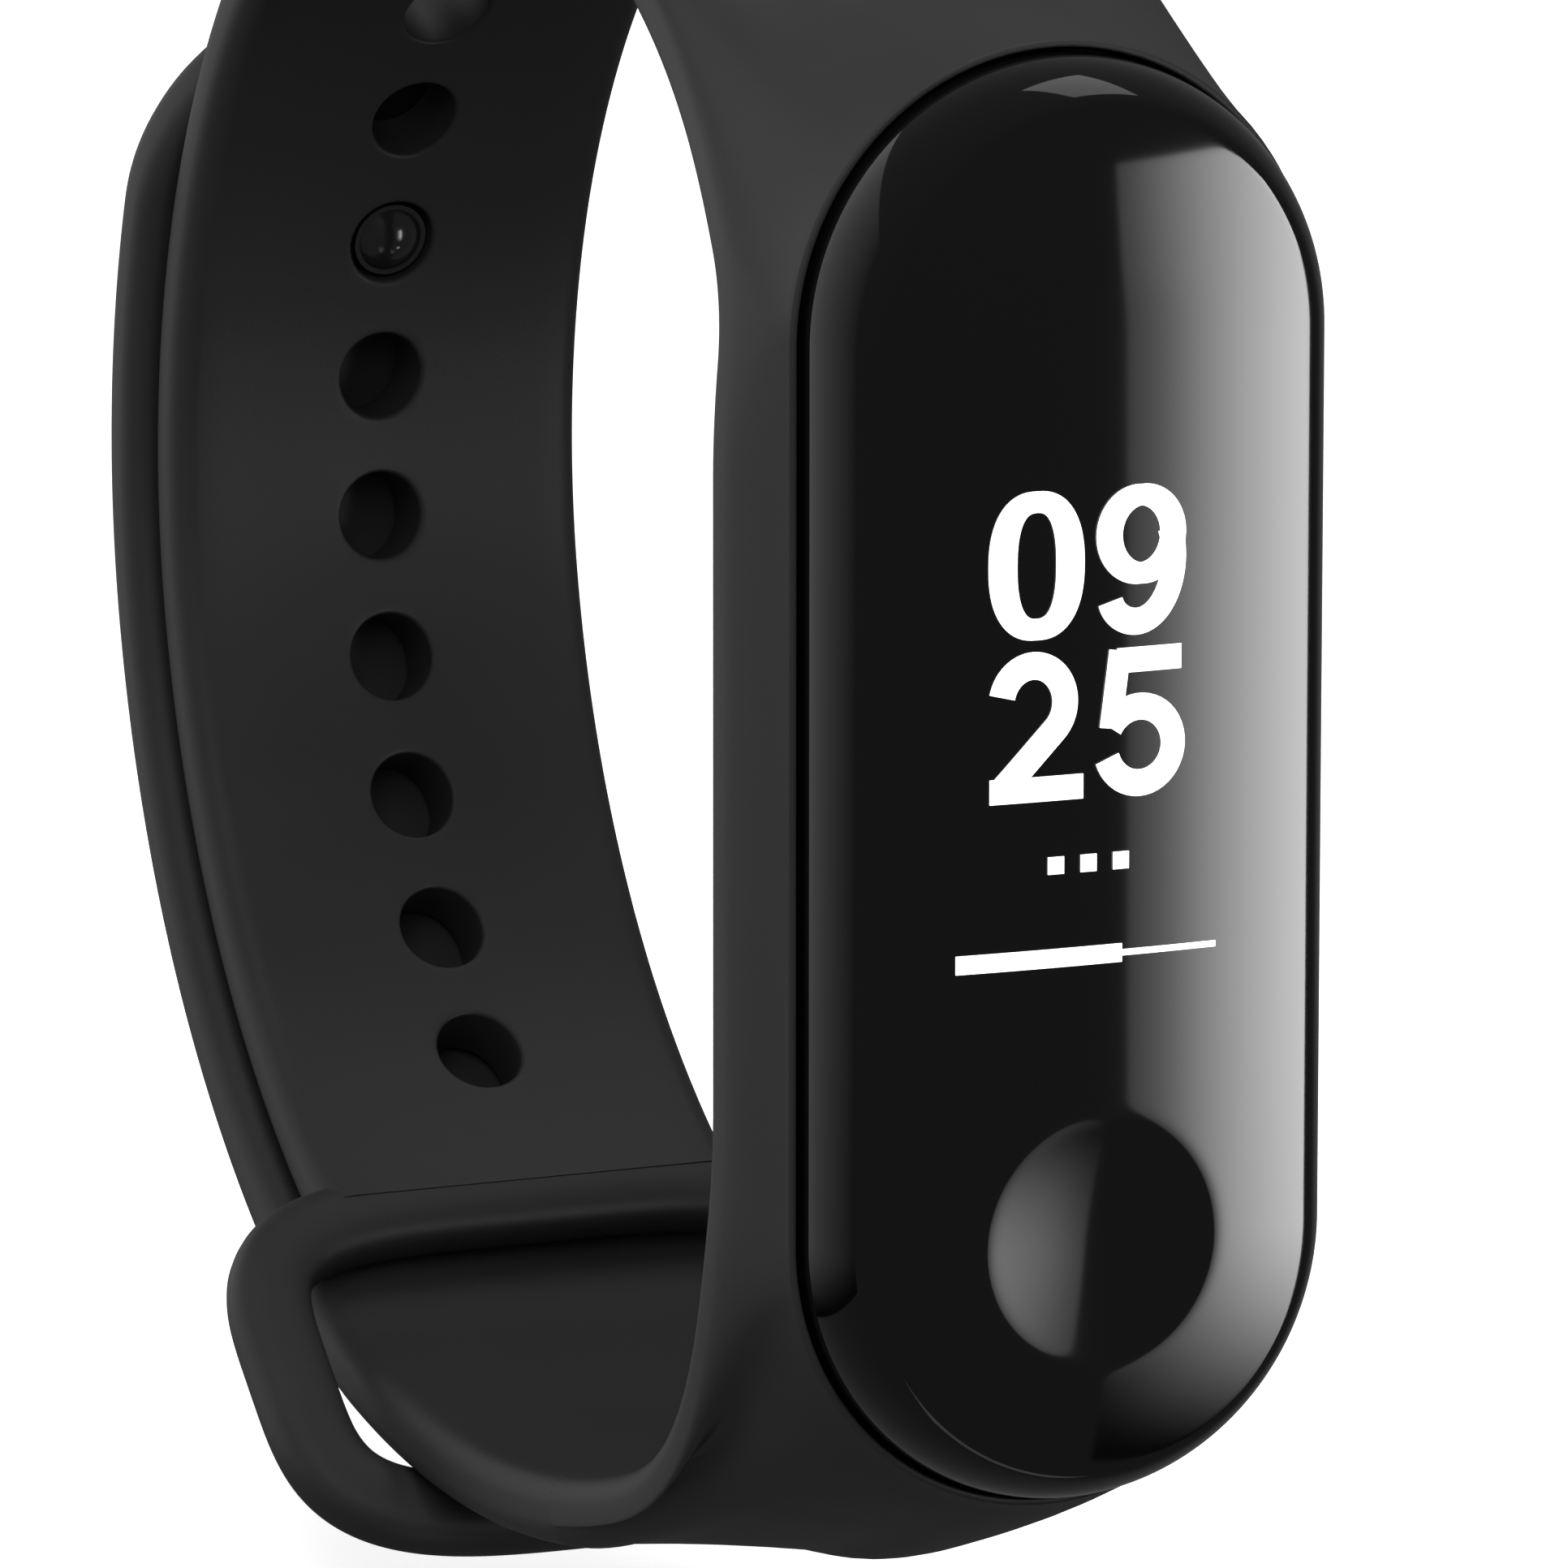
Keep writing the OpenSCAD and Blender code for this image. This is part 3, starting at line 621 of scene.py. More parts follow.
        top_x, top_d = across(self.root_half)
        low_x, low_d = across(self.tail_half)
        starts = self.path.starts
        knots = np.array([0.0, starts[1], starts[2], starts[3], starts[4], length])
        runs = zip(knots, knots[1:], self.side_steps)
        u = np.concatenate([np.linspace(a, b, n + 1)[1:] for a, b, n in runs])[:-1]
        n_top, n_low = len(top_x), len(low_x)
        group = np.repeat([0, 1, 2], [n_top, len(u), n_low])
        y_straight = np.interp(u, [starts[2], starts[3]], [1.0, -1.0])
        past, ends = u > starts[3], self.end_share
        side_share = np.where(u < starts[2], ends + (1 - ends) * u / starts[2], 1.0)
        side_share = np.where(past, 1.0 - (1 - ends) * (u - starts[3]) / (length - starts[3]), side_share)
        share = np.concatenate([np.linspace(0, ends, n_top), side_share, np.linspace(ends, 0, n_low)])
        sign = np.where(np.concatenate([np.zeros(n_top, bool), past, np.ones(n_low, bool)]), -1.0, 1.0)
        turn = share * math.pi / 2
        fall = np.concatenate([np.zeros(n_top - len(inset)), 1 - inset / r])
        arrive = smooth(np.arange(n_top) / (n_top - 1.0))
        on_side = np.ones(len(u))
        return {
            "u": np.concatenate([np.zeros(n_top), u, np.full(n_low, length)]),
            "x": np.concatenate([top_x, self.side_width(u), low_x[::-1]]),
            "d": np.concatenate([top_d, on_side * (t - r), low_d[::-1]]),
            "group": group,
            "arrive": np.concatenate([arrive, on_side, arrive[::-1]]),
            "fall": np.concatenate([fall, on_side, fall[::-1]]),
            "dx": np.sin(turn),
            "dy": np.cos(turn) * sign,
            "cy": np.concatenate([np.ones(n_top), y_straight, -np.ones(n_low)]) * self.pill_half,
        }

    def wrist_side(self) -> tuple[Array, Array, Array]:
        """The wrist surface behind the capsule, finely sampled.

        Returns:
            Distance along the path, height along the capsule, and distance out of its front.
        """
        fine = np.linspace(0, self.path.length, self.fine_steps + 1)
        points = self.path.at(fine)[0]
        return fine, *self.ring.to_capsule(points[:, 0], points[:, 1])

    def opening_edge(self, line: dict[str, Array]) -> tuple[Array, Array]:
        """Where each outline point's inner skin ends, on the rounded opening behind the capsule.

        The opening runs between the two places where the wrist surface is as deep as the pocket's floor.

        Returns:
            u and x of the opening's edge.
        """
        fine, _, depth = self.wrist_side()
        inside = fine[depth > self.floor_z]
        first, last, soft = float(inside[0]), float(inside[-1]), self.opening_soft
        u, x, group = line["u"], line["x"], line["group"]
        lengthwise = first + soft + (u - first) / (last - first) * (last - first - 2 * soft)
        edge_u, edge_x = np.clip(lengthwise, first + soft, last - soft), np.full(len(u), self.ledge_r)
        for which, end in ((0, first), (2, last)):
            flat = group == which
            edge_u[flat] = end
            edge_x[flat] = x[flat] / x[flat].max() * (self.ledge_r - soft)
        run = np.where(u < first, u / first, 0) * (group == 1)
        back = np.where(u > last, (self.path.length - u) / (self.path.length - last), 0) * (group == 1)
        for near, end, away in ((run, first, 1.0), (back, last, -1.0)):
            here = near > 0
            turn = near[here] * math.pi / 2
            edge_u[here] = end + away * soft * (1 - np.cos(turn))
            edge_x[here] = self.ledge_r - soft * (1 - np.sin(turn))
        return edge_u, edge_x

    def on_pill(self, line: dict[str, Array], rho: Array | float, z: Array | float) -> Array:
        """A row rho out from the pill's middle line and z out of the rim's plane."""
        rho, z = (np.broadcast_to(value, len(line["u"])) for value in (rho, z))
        return self.ring.from_capsule(np.stack([rho * line["dx"], line["cy"] + rho * line["dy"], z], -1))

    def skin_rows(self, line: dict[str, Array], start: Array) -> list[Array]:
        """The outer skin's rows: a cubic from the rim to the edge at each outline point.

        It leaves the rim backwards and a little outwards, and arrives along the strap at the two ends and
        across the edge on the sides. Under the capsule a swell is added, strongest past the middle.

        Args:
            line: the half outline.
            start: the rim's outermost row.

        Returns:
            The rows after the rim's.
        """
        dx, dy = line["dx"], line["dy"]
        end = self.path.place(line["u"], line["x"], line["d"])
        _, out, along = self.path.at(line["u"])
        flow = np.where(line["u"] < self.path.length / 2, -1.0, 1.0)[:, None]
        across, fall = line["arrive"][:, None], line["fall"][:, None]
        turn = across * math.pi / 2
        arrive = np.concatenate([np.sin(turn) * np.sqrt(1 - fall**2),
                                 np.cos(turn) * along * flow - np.sin(turn) * fall * out], axis=-1)
        chord = np.linalg.norm(end - start, axis=-1, keepdims=True)
        sideways = np.clip(self.spread_gain * (end - start)[:, 0] / chord[:, 0], -self.spread,
                           np.abs(dx) * self.spread)
        lengthways = dy * np.where(dy < 0, self.low_spread, self.spread)
        leave = self.ring.turn_from_capsule(np.stack([sideways, lengthways, -np.ones(len(dx))], -1))
        leave /= np.linalg.norm(leave, axis=-1, keepdims=True)
        landing = chord * (1 - across) + np.minimum(chord, self.landing) * across
        under = np.where(line["group"] == 2, 1 - line["arrive"], 0.0)[:, None]
        rows = []
        for k in np.linspace(0, 1, self.skin_steps + 1)[1:]:
            from_start, leaving = 2 * k**3 - 3 * k**2 + 1, k**3 - 2 * k**2 + k
            to_end, arriving = -2 * k**3 + 3 * k**2, k**3 - k**2
            skin = from_start * start + leaving * chord * leave + to_end * end + arriving * landing * arrive
            skin[:, 1:] += out * under * self.low_swell * k**4 * (1 - k) ** 2
            rows.append(skin)
        return rows

    def frame_rows(self, line: dict[str, Array]) -> tuple[Array, tuple[int, int]]:
        """The frame's rows: a closed profile at each outline point.

        Each profile climbs the pocket's wall, rounds the rim, crosses the outer skin, rounds the edge, comes
        back along the wrist side and returns to the ledge.

        Args:
            line: the half outline.

        Returns:
            Points of shape (rows, columns, 3), and the columns between which an end face would lie.
        """
        r, u, group = self.ring.edge_r, line["u"], line["group"]
        rows = [self.on_pill(line, self.rim_inner, z) for z in (self.ledge_z, self.wall_z)]
        inset, drop = corner_arc(self.rim_steps[0], self.inner_round)
        rows += [self.on_pill(line, self.rim_inner + a, -b) for a, b in zip(inset[::-1], drop[::-1])]
        inset, drop = corner_arc(self.rim_steps[1], self.rim_round)
        rows += [self.on_pill(line, self.rim_outer - a, -b) for a, b in zip(inset, drop)]
        rows += self.skin_rows(line, rows[-1])
        first_cap = len(rows) - 1
        edge = group == 1
        edge[[np.flatnonzero(group == 0)[-1], np.flatnonzero(group == 2)[0]]] = True
        half = np.select([group == 0, group == 2], [self.root_half, self.tail_half], line["x"])
        in_x = np.where(edge, half - r, np.minimum(line["x"], half - r))
        inset, drop = corner_arc(self.arc_steps, r)
        rows += [self.path.place(u, np.where(edge, half - a, in_x), np.where(edge, b, 0.0))
                 for a, b in zip(inset[::-1], drop[::-1])]
        last_cap = len(rows) - 1
        to_u, to_x = self.opening_edge(line)
        rows += [self.path.place(u + (to_u - u) * k, in_x + (to_x - in_x) * k, 0.0)
                 for k in np.linspace(0, 1, self.inner_steps + 1)[1:]]
        _, height, depth = self.wrist_side()
        order = np.argsort(height)
        local = line["cy"] + self.ledge_r * line["dy"]
        foot_z = np.maximum(np.interp(local, height[order], depth[order]), self.floor_z)
        rows += [self.on_pill(line, self.ledge_r, z) for z in (foot_z, self.ledge_z)]
        return np.stack(rows, axis=1), (first_cap, last_cap)

    def add_frame(self, work: Patchwork) -> None:
        """Adds the frame: the right half's rows and their mirror image, less the two end faces."""
        line = self.half_outline()
        rows, (first, last) = self.frame_rows(line)
        group = line["group"]
        n_top, n_low = int((group == 0).sum()), int((group == 2).sum())
        quads = len(rows) - 1
        keep = np.ones((quads, rows.shape[1]), bool)
        keep[: n_top - 1, first:last] = False
        keep[quads - n_low + 1:, first:last] = False
        for side in (1.0, -1.0):
            work.add(rows * (side, 1.0, 1.0), close_cols=True, keep=keep)

    def build(self) -> bpy.types.Object:
        """Sews the frame and the holed strap into one moulding."""
        work = Patchwork()
        self.add_band(work)
        self.add_frame(work)
        return work.sew("strap_moulding")


@dataclass
class StrapLoop:
    """The loop at the holed strap's end."""

    ring: RingSizes = RING
    half_w: float = 10.95
    length: float = 12.6
    stock_w: float = 2.9
    stock_t: float = 2.3
    roundness: float = 4.0
    stock_power: float = 0.75
    steps: int = 180
    stock_steps: int = 32
    loop_gap: float = 0.25
    stock_nominal_t: float = 2.2

    def plane(self) -> tuple[Array, float]:
        """The near bar's centre, and the loop's slope in degrees.

        The far bar's centre lies on a circle about the belly's centre, so the slope comes from the triangle
        of the two centres and the near bar. The circle's radius takes in how far a leaning stock reaches.
        """
        ring = self.ring
        near = ring.low_c + (ring.low_r + ring.strap_t / 2) * way(ring.loop_at)
        face = ring.belly_r + ring.strap_t + self.loop_gap
        span = float(np.linalg.norm(near - ring.belly_c))

        def slope(reach: float) -> float:
            """Slope that puts the far bar's centre at a distance from the belly's centre."""
            turn = math.acos((self.length**2 + span**2 - reach**2) / (2 * self.length * span))
            return heading(near, ring.belly_c) + math.degrees(turn)

        level = slope(face + self.stock_nominal_t / 2)
        lean = math.radians(level + 90 - heading(ring.belly_c, near + self.length * way(level)))
        r = ring.edge_r
        reach = (r + (self.stock_w / 2 - r) * abs(math.sin(lean))
                 + (self.stock_nominal_t / 2 - r) * abs(math.cos(lean)))
        return near, slope(face + reach)

    def build(self) -> bpy.types.Object:
        """Carries a rounded stock round a superellipse: x and t are powers of cosine and sine."""
        near, slope = self.plane()
        mid = squared_circle(closed_turn(self.steps), 2 / self.roundness) + (0, 1)
        mid *= (self.half_w, self.length / 2)
        ahead = np.roll(mid, -1, 0) - np.roll(mid, 1, 0)
        ahead /= np.linalg.norm(ahead, axis=-1, keepdims=True)
        side = np.stack([ahead[:, 1], -ahead[:, 0]], -1)
        stock = squared_circle(closed_turn(self.stock_steps), self.stock_power)
        a, b = (stock * (self.stock_w / 2, self.stock_t / 2)).T
        flat = mid[:, None, :] + side[:, None, :] * a[None, :, None]
        lift = np.broadcast_to(b[None, :], flat.shape[:2])
        along, up = way(slope), way(slope + 90)
        yz = near + flat[..., 1:2] * along + lift[..., None] * up
        work = Patchwork()
        work.add(np.concatenate([flat[..., :1], yz], axis=-1), close_rows=True, close_cols=True)
        return work.sew("strap_loop_ring")


@dataclass
class TailStrap:
    """The strap's tail, from the frame through the loop to its round tip."""

    ring: RingSizes = RING
    half_w: float = 8.5
    reach: float = 9.0
    blend_run: float = 2.5
    straight_points: int = 170
    tip_points: int = 40
    face_points: int = 9
    edge_steps: int = 6

    def tip_angle(self) -> float:
        """Angle at which the tail ends."""
        mid = self.ring.ring_r + self.ring.tail_step + self.ring.strap_t / 2
        return self.ring.stud_at + math.degrees(self.reach / mid)

    def build(self) -> bpy.types.Object:
        """Two faces and the edge between them.

        The half width is constant and then falls as a circle does. A face drops towards the outline by a
        quarter round of the distance left to it, which is half the width less |x| on the straight and the
        radius less the distance from the tip's centre on the round end.

        Returns:
            The tail's object.
        """
        ring = self.ring
        path = ring.tail_path(self.tip_angle())
        r, t, w = ring.edge_r, ring.strap_t, self.half_w
        centre = path.length - w
        straight = np.linspace(0, centre, self.straight_points)
        curve = centre + w * np.sin(np.linspace(0, math.pi / 2, self.tip_points)[1:])
        s = np.concatenate([straight, curve])
        half = np.where(s <= centre, w, np.sqrt(np.maximum(w**2 - np.maximum(s - centre, 0) ** 2, 0)))
        inset, _ = corner_arc(self.edge_steps, r)
        flat = np.linspace(0, w - r, self.face_points)[:-1]
        share = np.concatenate([flat, w - inset]) / w
        share = np.concatenate([-share[:0:-1], share])
        x = half[:, None] * share[None, :]
        left = np.where(s[:, None] <= centre, w - np.abs(x), w - np.hypot(x, s[:, None] - centre))
        left = np.clip(left, 0, r)
        face = t / 2 - r + np.sqrt(np.maximum(r**2 - (r - left) ** 2, 0))
        work = Patchwork()
        for sign in (1, -1):
            work.add(path.place(s[:, None], x, t / 2 + sign * face))
        for col in (0, -1):
            work.add(np.stack([path.place(s, x[:, col], t / 2 + sign * face[:, col]) for sign in (1, -1)],
                              axis=1))
        tail = work.sew("strap_tail")
        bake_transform(tail)
        return tail


# ---------- capsule ----------


@dataclass
class CapsuleLens:
    """The glossy front: a soft shoulder round a slightly crowned face, with the touch button's dimple."""

    ring: RingSizes = RING
    half_w: float = 8.95
    span: float = 14.5
    proud: float = 3.6
    seam_z: float = -0.6
    shoulder: float = 2.3
    shoulder_foot: float = 0.15
    crown_r: float = 70.0
    crown_mix: float = 30.0
    room_half: float = 7.8
    room_z: float = 2.5
    room_corner: float = 1.4
    dimple_r: float = 4.1
    dimple_depth: float = 0.24
    dimple_lip: float = 0.14
    lip_share: float = 0.12
    button_run: float = 6.0
    turn_points: int = 97
    button_points: int = 46
    straight_points: int = 60
    crown_points: int = 52
    shoulder_points: int = 33
    corner_points: int = 7
    ceiling_points: int = 8

    def outer_z(self, rho: Array) -> Array:
        """Height of the front: the lower of the crown's sphere and the shoulder's quarter ellipse."""
        crown = self.proud - rho**2 / (2 * self.crown_r)
        over = np.clip((rho - (self.half_w - self.shoulder)) / self.shoulder, 0, 1)
        soft = self.shoulder_foot + (self.proud - self.shoulder_foot) * np.sqrt(1 - over**2)
        mix = self.crown_mix
        return -np.log(np.exp(-mix * crown) + np.exp(-mix * soft)) / mix

    def dimple(self, points: Array) -> Array:
        """How far the front sinks: a parabola inside the button, let out softly over its lip."""
        far = np.hypot(points[..., 0], points[..., 1] + self.span)
        bowl = self.dimple_depth * (1 - (far / self.dimple_r) ** 2)
        soft = self.dimple_lip * self.lip_share
        return soft * np.logaddexp(0, bowl / soft)

    def build(self) -> bpy.types.Object:
        """Rows from the pill's middle line out over the shoulder, down to the seam and back inside."""
        def ways(dx: Array | float, dy: Array | float, middle: Array | float) -> Array:
            """Rows of a direction out and the height on the middle line that it starts from."""
            return np.stack(np.broadcast_arrays(dx, dy, middle), -1)

        turn = np.linspace(0, math.pi, self.turn_points)
        over, under = turn[turn <= math.pi / 2], turn[turn >= math.pi / 2]
        near = -self.span + np.linspace(0, self.button_run, self.button_points)
        straight = np.concatenate([near, np.linspace(near[-1], self.span, self.straight_points)[1:]])
        right = np.concatenate([ways(np.sin(over), np.cos(over), self.span),
                                ways(1.0, 0.0, straight[-2:0:-1]),
                                ways(np.sin(under), np.cos(under), -self.span)])
        shoulder = np.linspace(0, math.pi / 2, self.shoulder_points)
        foot = self.half_w - self.shoulder
        rho_out = np.concatenate([np.linspace(0, foot, self.crown_points)[:-1],
                                  foot + self.shoulder * np.sin(shoulder)])
        z_out = self.outer_z(rho_out)
        z_out[-1] = self.shoulder_foot
        corner = np.linspace(0, math.pi / 2, self.corner_points)
        ceiling = np.linspace(self.room_half - self.room_corner, 0, self.ceiling_points)[1:]
        rho_in = np.concatenate([[self.room_half],
                                 self.room_half - self.room_corner * (1 - np.cos(corner)), ceiling])
        z_in = np.concatenate([[self.seam_z],
                               self.room_z - self.room_corner + self.room_corner * np.sin(corner),
                               np.full(len(ceiling), self.room_z)])
        rho = np.concatenate([rho_out, [self.half_w], rho_in])
        z = np.concatenate([z_out, [self.seam_z], z_in])
        dxs, dys, cys = right[:, 0:1], right[:, 1:2], right[:, 2:3]
        points = np.stack([dxs * rho, cys + dys * rho, np.broadcast_to(z, (len(right), len(rho)))], -1)
        front = len(rho_out)
        points[:, :front, 2] -= self.dimple(points[:, :front])
        work = Patchwork()
        for side in (1.0, -1.0):
            work.add(self.ring.from_capsule(points * (side, 1.0, 1.0)))
        return work.sew("capsule_lens", sharp=55.0)


class Digit(Enum):
    """The numerals that the readout shows."""

    ZERO = "0"
    TWO = "2"
    FIVE = "5"
    NINE = "9"


@dataclass
class Readout:
    """The lit numerals of a clock face, and two rows of plain marks under them."""

    ring: RingSizes = RING
    surface_z: float = 3.6
    crown_r: float = 70.0
    lift: float = 0.015
    thick: float = 0.03
    middle_x: float = -0.56
    top_y: float = 10.02
    digit_w: float = 3.3
    digit_h: float = 4.75
    across: float = 3.72
    row: float = 5.22
    mark_drop: float = 2.1
    mark_across: float = 1.15
    mark_half: float = 0.28
    bar_drop: float = 3.0
    bar_half: float = 4.6
    bar_split: float = 1.2
    bar_widths: Pair = (0.30, 0.10)

    def stroke(self, work: Patchwork, line: Array, half: Array | float, closed: bool = False) -> None:
        """Lays a flat stroke along a line on the lens: the line offset both ways by half its width.

        Args:
            work: the patchwork that takes it.
            line: (points, 2) in the capsule's x and y.
            half: half widths at the points, or one for all.
            closed: whether the line comes back to its start.
        """
        if closed:
            ahead = np.roll(line, -1, 0) - np.roll(line, 1, 0)
        else:
            ahead = np.gradient(line, axis=0)
        ahead /= np.linalg.norm(ahead, axis=-1, keepdims=True)
        side = np.stack([-ahead[:, 1], ahead[:, 0]], -1) * np.broadcast_to(half, len(line))[:, None]
        flat = np.stack([line + side, line - side, line - side, line + side], axis=1)
        over = self.surface_z - flat[..., 0] ** 2 / (2 * self.crown_r) + self.lift
        z = over + np.array([1.0, 1.0, 0.0, 0.0]) * self.thick
        work.add(self.ring.from_capsule(np.concatenate([flat, z[..., None]], -1)),
                 close_rows=closed, close_cols=True)

    @staticmethod
    def oval(x: float, y: float, rx: float, ry: float, start: float, stop: float) -> Array:
        """Points of an ellipse's arc between two angles in degrees."""
        turn = np.radians(np.linspace(start, stop, OVAL_POINTS))
        return np.stack([x + rx * np.cos(turn), y + ry * np.sin(turn)], -1)

    @staticmethod
    def level(start: float, stop: float, y: float) -> Array:
        """A level line in steps short enough to follow the lens."""
        return np.stack([np.linspace(start, stop, LEVEL_POINTS), np.full(LEVEL_POINTS, y)], -1)

    def digit(self, work: Patchwork, which: Digit, x: float, y: float) -> None:
        """Lays one bold numeral whose lower left corner is at x, y.

        Its shape is drawn in a box one wide and one high and then stretched to the numeral's size.
        """
        size = np.array([self.digit_w, self.digit_h])
        at = np.array([x, y])

        def put(line: Array, half: Array | float, closed: bool = False) -> None:
            """Lays a stroke given in the numeral's box."""
            self.stroke(work, at + line * size, half, closed)

        turn = closed_turn(ROUND_STEPS)
        c, s = np.cos(turn), np.sin(turn)
        if which is Digit.ZERO:
            put(0.5 + squared_circle(turn, 0.82) * (0.355, 0.43), 0.34 + 0.15 * np.abs(c) ** 1.3, True)
        elif which is Digit.NINE:
            put(np.stack([0.49 + 0.345 * c, 0.665 + 0.265 * s], -1), 0.34 + 0.12 * np.abs(c), True)
            tail = np.concatenate([self.oval(0.44, 0.50, 0.405, 0.425, 28, -90),
                                   self.oval(0.44, 0.265, 0.29, 0.19, -92, -166)])
            put(tail, 0.43)
        elif which is Digit.TWO:
            foot = [[0.34, 0.231], [0.16, 0.105]]
            put(np.concatenate([self.oval(0.47, 0.67, 0.335, 0.255, 168, -50), foot]), 0.44)
            put(self.level(0.015, 1.0, 0.085), 0.40)
        else:
            put(self.level(0.235, 0.93, 0.915), 0.40)
            put(np.array([[0.265, 0.985], [0.165, 0.46]]), 0.38)
            put(self.oval(0.48, 0.335, 0.365, 0.26, 150, -162), 0.43)

    def build(self) -> bpy.types.Object:
        """Lays the four numerals and the marks that stand for the smaller lines."""
        work = Patchwork()
        left = self.middle_x - (self.across + self.digit_w) / 2
        foot = self.top_y - self.digit_h
        for r, pair in enumerate(((Digit.ZERO, Digit.NINE), (Digit.TWO, Digit.FIVE))):
            for c, which in enumerate(pair):
                self.digit(work, which, left + c * self.across, foot - r * self.row)
        mark_y = foot - self.row - self.mark_drop
        for k in (-1, 0, 1):
            x = self.middle_x + k * self.mark_across
            self.stroke(work, self.level(x - self.mark_half, x + self.mark_half, mark_y), self.mark_half)
        bar_y, split = mark_y - self.bar_drop, self.middle_x + self.bar_split
        left_width, right_width = self.bar_widths
        self.stroke(work, self.level(split, self.middle_x + self.bar_half, bar_y), right_width)
        self.stroke(work, self.level(self.middle_x - self.bar_half, split, bar_y), left_width)
        return work.sew("readout_numerals")


# ---------- finishes ----------


def new_material(name: str) -> tuple[bpy.types.Material, bpy.types.Nodes, bpy.types.NodeLinks]:
    """Makes a material with nodes, and gives it with its nodes and its links."""
    material = bpy.data.materials.new(name)
    material.use_nodes = True
    return material, material.node_tree.nodes, material.node_tree.links


def fill(node: bpy.types.Node, values: dict[str, object]) -> bpy.types.Node:
    """Sets a node's inputs to plain values, by their names, and gives the node back."""
    for name, value in values.items():
        node.inputs[name].default_value = value
    return node


@dataclass(frozen=True)
class Finish:
    """One surface finish: its colour, gloss, fine grain, and how much each varies over the piece."""

    name: str
    colour: tuple[float, float, float]
    roughness: float
    metallic: float = 0.0
    specular: float = 0.5
    grain_mm: float = 0.12
    grain_depth_mm: float = 0.004
    uneven: float = 0.12
    uneven_mm: float = 5.0
    tint_share: float = 0.6
    tint_ends: Pair = (0.3, 0.7)
    glow: float = 0.0

    def make(self) -> bpy.types.Material:
        """Builds the node material: grain as bump, and slow unevenness in the roughness and the colour.

        Returns:
            The material.
        """
        material, nodes, links = new_material(self.name)
        shader = fill(nodes["Principled BSDF"],
                      {"Metallic": self.metallic, "Specular IOR Level": self.specular})
        coordinates = nodes.new("ShaderNodeTexCoord")
        slow, gloss, tint = (nodes.new(kind) for kind in (
            "ShaderNodeTexNoise", "ShaderNodeMapRange", "ShaderNodeValToRGB"))
        fill(slow, {"Scale": 1 / (self.uneven_mm * MM), "Detail": SLOW_DETAIL})
        fill(gloss, {"To Min": self.roughness * (1 - self.uneven),
                     "To Max": self.roughness * (1 + self.uneven)})
        low, high = tint.color_ramp.elements[0], tint.color_ramp.elements[1]
        low.position, high.position = self.tint_ends
        low.color = (*(c * (1 - self.uneven * self.tint_share) for c in self.colour), 1)
        high.color = (*(min(1.0, c * (1 + self.uneven * self.tint_share)) for c in self.colour), 1)
        links.new(coordinates.outputs["Object"], slow.inputs["Vector"])
        links.new(slow.outputs["Fac"], gloss.inputs["Value"])
        links.new(gloss.outputs["Result"], shader.inputs["Roughness"])
        links.new(slow.outputs["Fac"], tint.inputs["Fac"])
        links.new(tint.outputs["Color"], shader.inputs["Base Color"])
        if self.grain_depth_mm:
            grain = fill(nodes.new("ShaderNodeTexNoise"),
                         {"Scale": 1 / (self.grain_mm * MM), "Detail": GRAIN_DETAIL})
            bump = fill(nodes.new("ShaderNodeBump"), {"Distance": self.grain_depth_mm * MM, "Strength": 1.0})
            links.new(coordinates.outputs["Object"], grain.inputs["Vector"])
            links.new(grain.outputs["Fac"], bump.inputs["Height"])
            links.new(bump.outputs["Normal"], shader.inputs["Normal"])
        if self.glow:
            fill(shader, {"Emission Color": WHITE, "Emission Strength": self.glow})
        return material


FINISHES: dict[str, Finish] = {
    "strap_rubber": Finish("matte_elastomer", (0.026, 0.026, 0.027), 0.52, specular=0.42, uneven=0.08),
    "stud_plastic": Finish("polished_stud", (0.018, 0.018, 0.019), 0.16, grain_depth_mm=0.0008),
    "lens_gloss": Finish("black_gloss_lens", (0.003, 0.003, 0.0032), 0.045, specular=0.5,
                         grain_depth_mm=0.0, uneven=0.04),
    "gasket": Finish("gasket_rubber", (0.03, 0.03, 0.03), 0.7),
    "display_glass": Finish("display_glass", (0.02, 0.02, 0.03), 0.08, grain_depth_mm=0.0),
    "copper_flex": Finish("polyimide_film", (0.45, 0.24, 0.08), 0.35),
    "contact_gold": Finish("gold_plate", (0.83, 0.60, 0.24), 0.22, metallic=1.0, grain_mm=0.05),
    "tray_plastic": Finish("tray_plastic", (0.09, 0.095, 0.1), 0.5),
    "shell_plastic": Finish("satin_shell", (0.012, 0.012, 0.013), 0.34, grain_mm=0.08,
                            grain_depth_mm=0.003),
    "board_green": Finish("solder_mask", (0.012, 0.11, 0.04), 0.3),
    "chip_black": Finish("chip_moulding", (0.015, 0.015, 0.017), 0.5),
    "connector_plastic": Finish("connector_plastic", (0.65, 0.6, 0.52), 0.45),
    "battery_foil": Finish("battery_pouch", (0.55, 0.56, 0.58), 0.32, metallic=0.9, grain_mm=0.4,
                           grain_depth_mm=0.01),
    "motor_steel": Finish("drawn_steel", (0.55, 0.55, 0.56), 0.28, metallic=1.0, grain_mm=0.05),
    "weight_metal": Finish("sintered_weight", (0.2, 0.19, 0.18), 0.5, metallic=1.0, grain_mm=0.1,
                           grain_depth_mm=0.006),
    "led_clear": Finish("clear_lamp", (0.25, 0.6, 0.35), 0.12, grain_depth_mm=0.0),
    "window_dark": Finish("smoked_window", (0.01, 0.015, 0.012), 0.06, grain_depth_mm=0.0),
}
